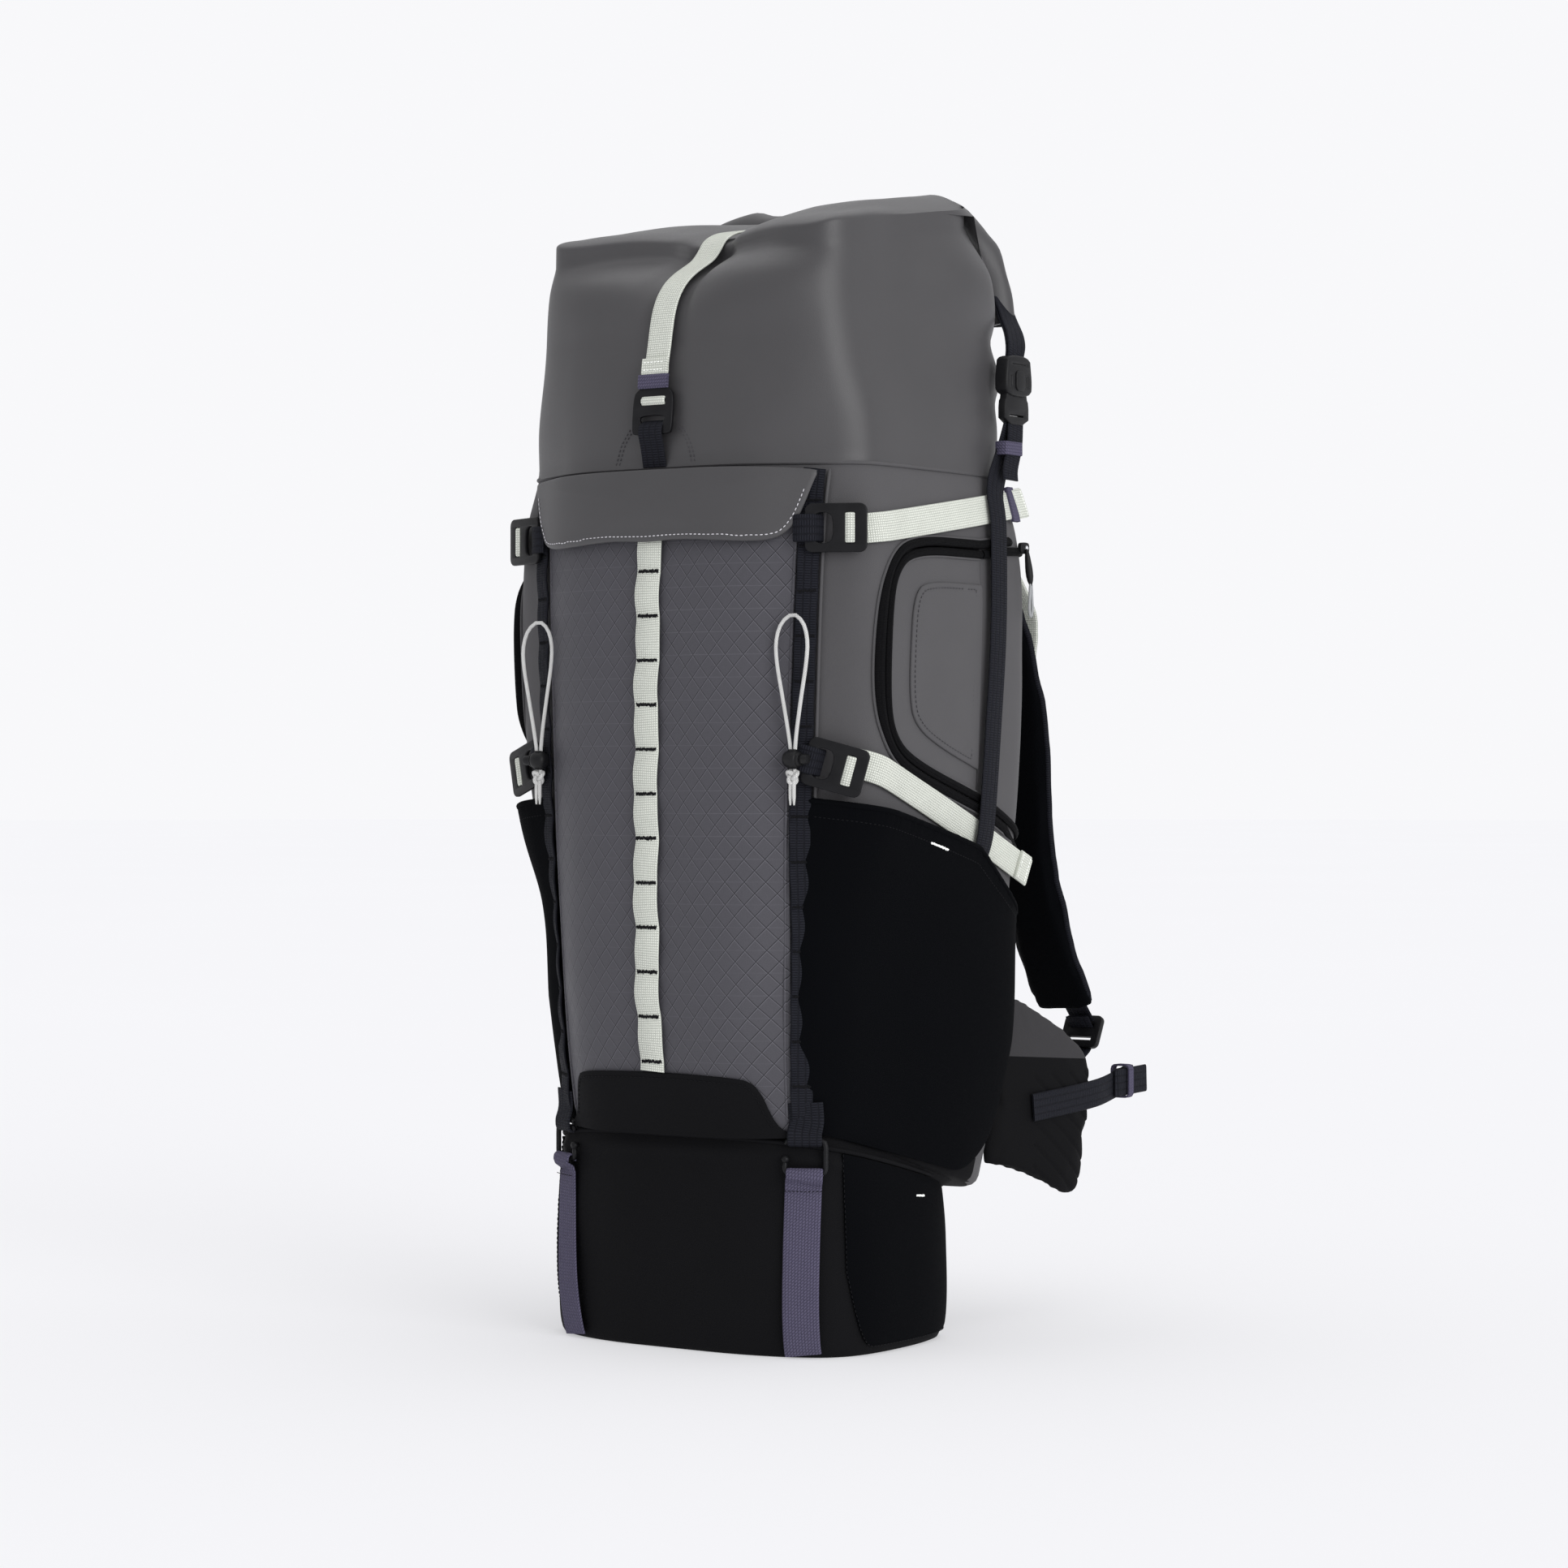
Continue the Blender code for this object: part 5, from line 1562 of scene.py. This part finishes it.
def make_bin_pocket(side, tag):
    """The stretch pocket let into the bag's side, with a rounded lower front corner."""
    place = BIN.wrap(side)
    ts = np.linspace(3.12, 6.7, 60)
    rim = rim_height(BIN.plan(ts, np.full(60, 0.060))[:, 1]) - 0.003
    low = 0.0065 + 0.052 * np.clip((3.75 - ts) / 0.63, 0, 1) ** 2.2
    grids = []
    for depth in (0.0, 0.0018):
        grid = []
        for row in np.linspace(0, 1, 30):
            z = low + (rim - low) * row
            inside = np.sin(math.pi * np.linspace(0, 1, 60)) ** 0.4
            swell = 0.0022 + 0.0020 * inside * math.sin(math.pi * row) ** 0.5
            folds = crumple(place(ts, z), 0.05, 0.0014, 21.0)
            grid.append(place(ts, z, swell - depth + folds * inside * math.sin(math.pi * row)))
        grids.append(np.array(grid))
    pocket = slab(f"bottom_pocket_{tag}", grids[0], grids[1], STRETCH, "pack")
    front = laid_on(pocket, grids[0][:, 0])
    low_edge = laid_on(pocket, grids[0][0])
    stitch_line("pack", "dark", np.vstack([front[::-1], low_edge[1:]]), 0.0022, 0.0012)
    seen = BIN.flank(side)(0.0150, 0.1030, 0.0070)
    spot = laid_on(pocket, [seen])[0]
    bartack("pack", "white", spot, (0, 1, -0.1), (0, 0.1, 1), 0.0100, 0.0013, 78, 0.0004)


BIN_STRAP_X = 0.0990


def make_bin_strap(side, tag):
    """A twill strap down the bag's front corner, hung on a wire hook from a black tab."""
    x = side * BIN_STRAP_X
    above, below = BODY.front(x, 0.158, 0.0042), BIN.front(x, 0.115, 0.0040)
    run = BIN.front(x + 0.006, 0.115) - BIN.front(x - 0.006, 0.115)
    along = Vector((*run[:2], 0)).normalized() * side
    out = Vector((along.y, -along.x, 0)) * side
    centre = Vector(((above[0] + below[0]) / 2, (above[1] + below[1]) / 2, 0.1345))

    def at(u, v, rise=0.0):
        return centre + along * u + Vector((0, 0, v)) + out * rise

    zs = np.concatenate([np.linspace(0.1170, 0.0060, 36), [0.0030]])
    drift = 0.012 * ((0.119 - zs) / 0.119) ** 1.6 * (side < 0)
    xs = side * (BIN_STRAP_X - drift)
    proud = 0.0030 + 0.0010 * np.sin(zs * 48)
    front = BIN.front(xs, zs, proud)
    tilt = BIN.front(xs + 0.006, zs) - BIN.front(xs - 0.006, zs)
    hung = route([at(0, -.0120, -.0016), at(0, -.0090, -.0006), at(0, -.0074, .0018),
                  at(0, -.0092, .0042), at(0, -.0140, .0046)], 0.0015)
    path = np.vstack([hung, front])
    across = np.vstack([np.tile(np.array(along) * side, (len(hung), 1)), tilt])
    webbing(f"bottom_strap_{tag}", path, across, BIN_WEBBING, VIOLET, "pack",
            replaces=(f"bin_strap_{tag}",))
    line = [BIN.front(side * BIN_STRAP_X + d, 0.1120, 0.0052)
            for d in np.linspace(-.0110, .0110, 10)]
    stitch_line("pack", "dark", line, 0.0018, 0.0009)
    wire = route([at(-.0132, -.0020), at(-.0136, -.0070), at(-.0118, -.0100), at(0, -.0104),
                  at(.0118, -.0100), at(.0138, -.0080), at(.0140, 0), at(.0138, .0085),
                  at(.0114, .0112), at(0, .0114), at(-.0110, .0112), at(-.0134, .0090)], 0.002)
    tube(f"bottom_hook_{tag}", wire, 0.0018, METAL, "pack", replaces=(f"bin_hook_{tag}",))
    ball = [(-.0026, .0006), (-.0020, .0021), (0, .0029), (.0020, .0021), (.0026, .0006)]
    revolved(f"bottom_hook_tip_{tag}", ball, at(-.0132, -.0010), (0, 0, 1), METAL, "pack",
             sides=16)
    tab = [BODY.front(x, 0.1720, 0.0056),
           BODY.front(x, 0.1600, 0.0060),
           at(0, .0170, .0030), at(0, .0135, .0034), at(0, .0095, .0026), at(0, .0080, -.0010)]
    webbing(f"bottom_hook_tab_{tag}", route(tab, 0.002), along * side, 0.0235, NAVY, "pack")


# The wearer's side

def pad_rings(centres, across, widths, thickness):
    """Rings of an oval section along a pad's centre line."""
    centres = np.asarray(centres, float)
    along = unit(np.gradient(centres, axis=0))
    wide = np.broadcast_to(np.asarray(across, float), centres.shape)
    wide = unit(wide - along * np.sum(wide * along, 1)[:, None])
    up = np.cross(along, wide)
    rings = []
    for point, w, u, width in zip(centres, wide, up, widths):
        ring = []
        for angle in np.arange(20) * 2 * math.pi / 20:
            c, s = math.cos(angle), math.sin(angle)
            ring.append(point + w * width / 2 * math.copysign(abs(c) ** 0.45, c)
                        + u * thickness / 2 * math.copysign(abs(s) ** 0.6, s))
        rings.append(ring)
    return np.array(rings), up


def make_back_panel():
    zs = np.linspace(0.146, 0.559, 40)
    rise = (zs - 0.3525) / 0.2065
    widths = 2 * (0.104 - 0.018 * abs(rise) ** 3)
    back = BODY.plan(np.full(len(zs), 8.0), zs)[:, 1]
    centres = np.stack([0 * zs, back + 0.0095, zs], 1)
    rings, _ = pad_rings(centres, (1, 0, 0), widths, 0.0130)
    pad = puffed(swept("back_pad", rings, MESH_PAD, replaces=("back_panel_pad",)),
                 voxel=0.006, cap=0.004)
    points = coordinates(pad)
    outer = np.clip((points[:, 1] - np.interp(points[:, 2], zs, back) - 0.008) / 0.006, 0, 1)
    spine = np.exp(-(points[:, 0] / 0.010) ** 2)
    dips = 0.0065 * spine
    for level in (0.235, 0.330, 0.425):
        slant = level - 0.25 * (abs(points[:, 0]) - 0.05)
        dips = np.maximum(dips, 0.0048 * np.exp(-((points[:, 2] - slant) / 0.0045) ** 2))
    points[:, 1] -= dips * outer
    move_to(pad, points)
    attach(pad, "pack")
    half = widths / 2
    right = np.stack([half, back + 0.0060, zs], 1)
    edge = np.vstack([right, (right * (-1, 1, 1))[::-1]])
    tube("back_pad_binding", resample(chaikin(edge, 2), 0.006, closed=True), 0.0032, NAVY,
         "pack", closed=True)
    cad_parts["frame_stay"].material_slots[0].material = ALUMINIUM
    handle = route([(-.0360, .1200, .5780), (-.0350, .1290, .5900), (-.0330, .1400, .6010),
                    (-.0200, .1490, .6070), (0, .1510, .6080), (.0200, .1490, .6070),
                    (.0330, .1400, .6010), (.0350, .1290, .5900), (.0360, .1200, .5780)],
                   0.004)
    webbing("carry_handle", handle, (0, -0.5, 1), WEBBING, NAVY, "pack", thickness=0.003,
            replaces=("haul_handle",))


STRAP_LINE = ((.050, .133, .500), (.053, .150, .526), (.062, .175, .541), (.073, .196, .518),
              (.081, .213, .470), (.086, .224, .410), (.088, .229, .340), (.094, .248, .272),
              (.101, .274, .218))


def make_shoulder_strap(side, tag):
    """A padded strap with its binding, its daisy webbing and its load lifter."""
    body = f"shoulder_strap_{tag}"
    line = route([(side * (x - 0.006), y, z) for x, y, z in STRAP_LINE], 0.008)
    widths = np.linspace(0.074, 0.052, len(line))
    rings, up = pad_rings(line, (1, 0, 0), widths, 0.0095)
    strap = puffed(swept(f"strap_pad_{tag}", rings, STRETCH, replaces=(body,)),
                   voxel=0.0042, cap=0.0025)
    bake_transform(strap)
    for edge in (-1, 1):
        hem = laid_on(strap, [p + np.array((edge * w * 0.6, 0, 0))
                              for p, w in zip(line[1:-1], widths[1:-1])], -0.0006)
        hem = tube(f"strap_binding_{tag}_{'in' if edge < 0 else 'out'}",
                   resample(chaikin(hem, 2, closed=False), 0.006), 0.0024, NAVY, sides=8)
        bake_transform(hem)
    face = line + up * np.sign(up[:, 1:2]) * 0.0200
    outer = laid_on(strap, face[(line[:, 2] < 0.455) & (line[:, 1] > 0.19)], 0.0012)
    webbing(f"strap_daisy_{tag}", resample(outer, 0.004), (1, 0, 0), EDGE_WEBBING, WHITE, body)
    for k, spot in enumerate(outer[2::5]):
        bartack(body, "dark", spot + (0, 0.0012, 0), (1, 0, 0), (0, 0, 1), 0.0125, 0.0018, k)
    lift = route([(side * .0880, .1180, .5920), (side * .0880, .1600, .5730),
                  (side * .0870, .2180, .5180), (side * .0860, .2275, .4960),
                  (side * .0855, .2262, .4800), (side * .0855, .2235, .4640)], 0.005)
    lifter = webbing(f"lifter_{tag}", lift, (1, 0, 0), WEBBING, WHITE,
                     replaces=(f"load_lifter_{tag}",))
    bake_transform(lifter)
    make_adjuster(side, tag)


def make_adjuster(side, tag):
    """The ladder lock at the strap's foot, and the webbing from the pack's base to it."""
    body = f"shoulder_strap_{tag}"
    v_axis = Vector((0, 0.5, 1)).normalized()
    outline = rounded_box(-.0150, .0150, -.0125, .0112, .0034)
    slots = [rounded_box(-.0106, .0106, -.0086, -.0040, .0012),
             rounded_box(-.0106, .0106, .0012, .0062, .0012)]
    plate(f"ladder_lock_{tag}", outline, slots, 0.0044, (side * .1025, .2825, .2000),
          (1, 0, 0), v_axis, PLASTIC, body, bevel=0.0010, replaces=(f"strap_adjuster_{tag}",))
    tab = route([(side * .1005, .2680, .2260), (side * .1015, .2790, .2130),
                 (side * .1025, .2845, .2055), (side * .1025, .2810, .2035),
                 (side * .1018, .2740, .2120)], 0.002)
    webbing(f"ladder_tab_{tag}", tab, (1, 0, 0), WEBBING, NAVY, body)
    sling = f"adjuster_webbing_{tag}"
    run = route([(side * .1010, .1080, .1280), (side * .1020, .1305, .1320),
                 (side * .1022, .1800, .1440), (side * .1025, .2300, .1640),
                 (side * .1025, .2710, .1840), (side * .1025, .2790, .1900)], 0.005)
    made = webbing(f"base_sling_{tag}", run, (1, 0, 0), WEBBING, NAVY, replaces=(sling,))
    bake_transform(made)
    for y in (.1160, .1180):
        stitch(sling, "dark", (side * .0935, y, .1296 + 0.2 * (y - .1160)),
               (side * .1100, y, .1296 + 0.2 * (y - .1160)), 0.0007)


# The wing's place at each distance behind the pack's middle: x, y, lowest z and highest z
WING_LINE = chaikin(
    ((.1130, .1120, .114, .207), (.1195, .1310, .108, .237), (.1255, .1500, .102, .233),
     (.1310, .1690, .0935, .221), (.1350, .1860, .087, .212), (.1375, .2010, .087, .201),
     (.1385, .2085, .112, .193), (.1390, .2140, .152, .186)), 2, closed=False)


def wing_at(y):
    return [float(np.interp(y, WING_LINE[:, 1], WING_LINE[:, k])) for k in (0, 2, 3)]


def make_hip_wing(side, tag):
    """The padded hip wing, its quilting, its webbing and the bundled slack."""
    body = f"hip_wing_{tag}"
    rings = []
    for y in np.linspace(WING_LINE[0, 1], WING_LINE[-1, 1], 44):
        x, low, high = wing_at(y)
        middle, tall = (low + high) / 2, high - low
        ring = []
        for angle in np.arange(28) * 2 * math.pi / 28:
            c, s = math.cos(angle), math.sin(angle)
            ring.append((side * (x + 0.007 + 0.0050 * math.copysign(abs(c) ** 0.5, c)), y,
                         middle + tall / 2 * math.copysign(abs(s) ** 0.4, s)))
        rings.append(ring)
    wing = puffed(swept(f"wing_pad_{tag}", rings, WING, replaces=(body,)),
                  voxel=0.0032, cap=0.0028, evened=20)
    points = coordinates(wing)
    quilted = (points[:, 2] < 0.178) & (points[:, 1] > 0.150)
    wave = (points[:, 2] + 0.9 * points[:, 1]) % 0.016 - 0.008
    middle = np.interp(points[:, 1], WING_LINE[:, 1], WING_LINE[:, 0]) + 0.007
    inward = np.sign(points[:, 0] * side - middle) * side
    points[:, 0] -= inward * 0.0010 * np.exp(-(wave / 0.0014) ** 2) * quilted
    move_to(wing, points)
    start, end = (side * .120, .1240, .160), (side * .130, .1640, .160)
    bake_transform(wing)
    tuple(start)
    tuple(end)
    run = [(.1415, .146), (.1480, .175), (.1525, .202), (.1530, .222), (.1478, .250),
           (.1428, .272)]
    path = route([(side * (x + 0.0004), y, 0.155 + 0.10 * (y - 0.15)) for x, y in run], 0.004)
    webbing(f"hip_strap_{tag}", path, (0, 0, 1), WEBBING, NAVY, body,
            replaces=(f"hip_webbing_{tag}",))
    folds = [(.1428, .272), (.1432, .2785), (.1462, .2780), (.1478, .2640), (.1490, .2480),
             (.1515, .2440), (.1535, .2480), (.1530, .2640), (.1535, .2860)]
    bundle = route([(side * x, y, 0.1670 + 0.04 * (y - 0.26)) for x, y in folds], 0.002)
    webbing(f"hip_strap_bundle_{tag}", bundle, (0, 0.04, 1), WEBBING, NAVY, body)
    ring = np.array(rounded_box(-.0072, .0072, -.0116, .0116, .0030))
    band = [(side * (.1485 + u), .2600, .1672 + v) for u, v in ring]
    band.append(band[0])
    webbing(f"hip_strap_keeper_{tag}", resample(band, 0.002), (0, 1, 0), 0.0070, VIOLET, body,
            thickness=0.0014)


# Stage

WORLD_LIGHT = 0.67
WORLD_COLOUR = (0.940, 0.940, 0.958, 1.0)
FLOOR_GLOW = 0.44
FLOOR_GLOW_COLOUR = (0.98, 0.98, 1.0, 1.0)
FLOOR_RADIUS = 40
SUNS = (("key", (0.90, -0.30, 0.24), 1.40, 40), ("top", (0.0, 0.22, 1.0), 0.75, 75))


def make_stage():
    """A wide pale floor that meets a pale world, lit by the world and two broad suns."""
    look = Look("pale_floor", 1.0, 0.0)
    tint = look.noise(look.place(), 0.7)
    look.set("Base Color", look.colour(look.ramp(tint, 0.0, 1.0), linear(188, 188, 190),
                                       linear(189, 189, 191)))
    look.shader.inputs["Emission Color"].default_value = FLOOR_GLOW_COLOUR
    look.shader.inputs["Emission Strength"].default_value = FLOOR_GLOW
    turns = np.arange(64) * 2 * math.pi / 64
    rim = [(FLOOR_RADIUS * math.cos(turn), FLOOR_RADIUS * math.sin(turn)) for turn in turns]
    verts = [(x, y, z) for z in (0.0, -0.02) for x, y in rim]
    piece("floor", verts, ring_faces(2, 64), look.material)
    world = bpy.data.worlds.new("studio")
    bpy.context.scene.world = world
    world.use_nodes = True
    tree = world.node_tree
    backdrop = tree.nodes["Background"]
    backdrop.inputs["Color"].default_value = WORLD_COLOUR
    path = tree.nodes.new("ShaderNodeLightPath")
    strength = tree.nodes.new("ShaderNodeMapRange")
    strength.inputs["To Min"].default_value = WORLD_LIGHT
    strength.inputs["To Max"].default_value = 1.0
    tree.links.new(path.outputs["Is Camera Ray"], strength.inputs["Value"])
    tree.links.new(strength.outputs[0], backdrop.inputs["Strength"])
    bpy.context.scene.view_settings.view_transform = "Standard"
    for name, toward, power, spread in SUNS:
        data = bpy.data.lights.new(name, "SUN")
        data.angle = math.radians(spread)
        data.energy = power
        lamp = bpy.data.objects.new(name, data)
        lamp.location = Vector(toward) * 3
        lamp.rotation_euler = Vector(toward).to_track_quat("Z", "Y").to_euler()
        bpy.context.scene.collection.objects.link(lamp)


def main():
    make_camera()
    make_cords()
    make_body()
    make_skirt()
    make_roll_top()
    make_front()
    make_back_panel()
    make_bin()
    for side, tag in SIDES:
        make_edge_webbing(side, tag)
        make_compression(side, tag, "upper")
        make_compression(side, tag, "lower")
        make_door(side, tag)
        make_zip(side, tag)
        make_side_strap(side, tag)
        make_buckle(side, tag)
        make_side_pocket(side, tag)
        make_bin_strap(side, tag)
        make_shoulder_strap(side, tag)
        make_hip_wing(side, tag)
    make_threads()
    make_stage()


main()
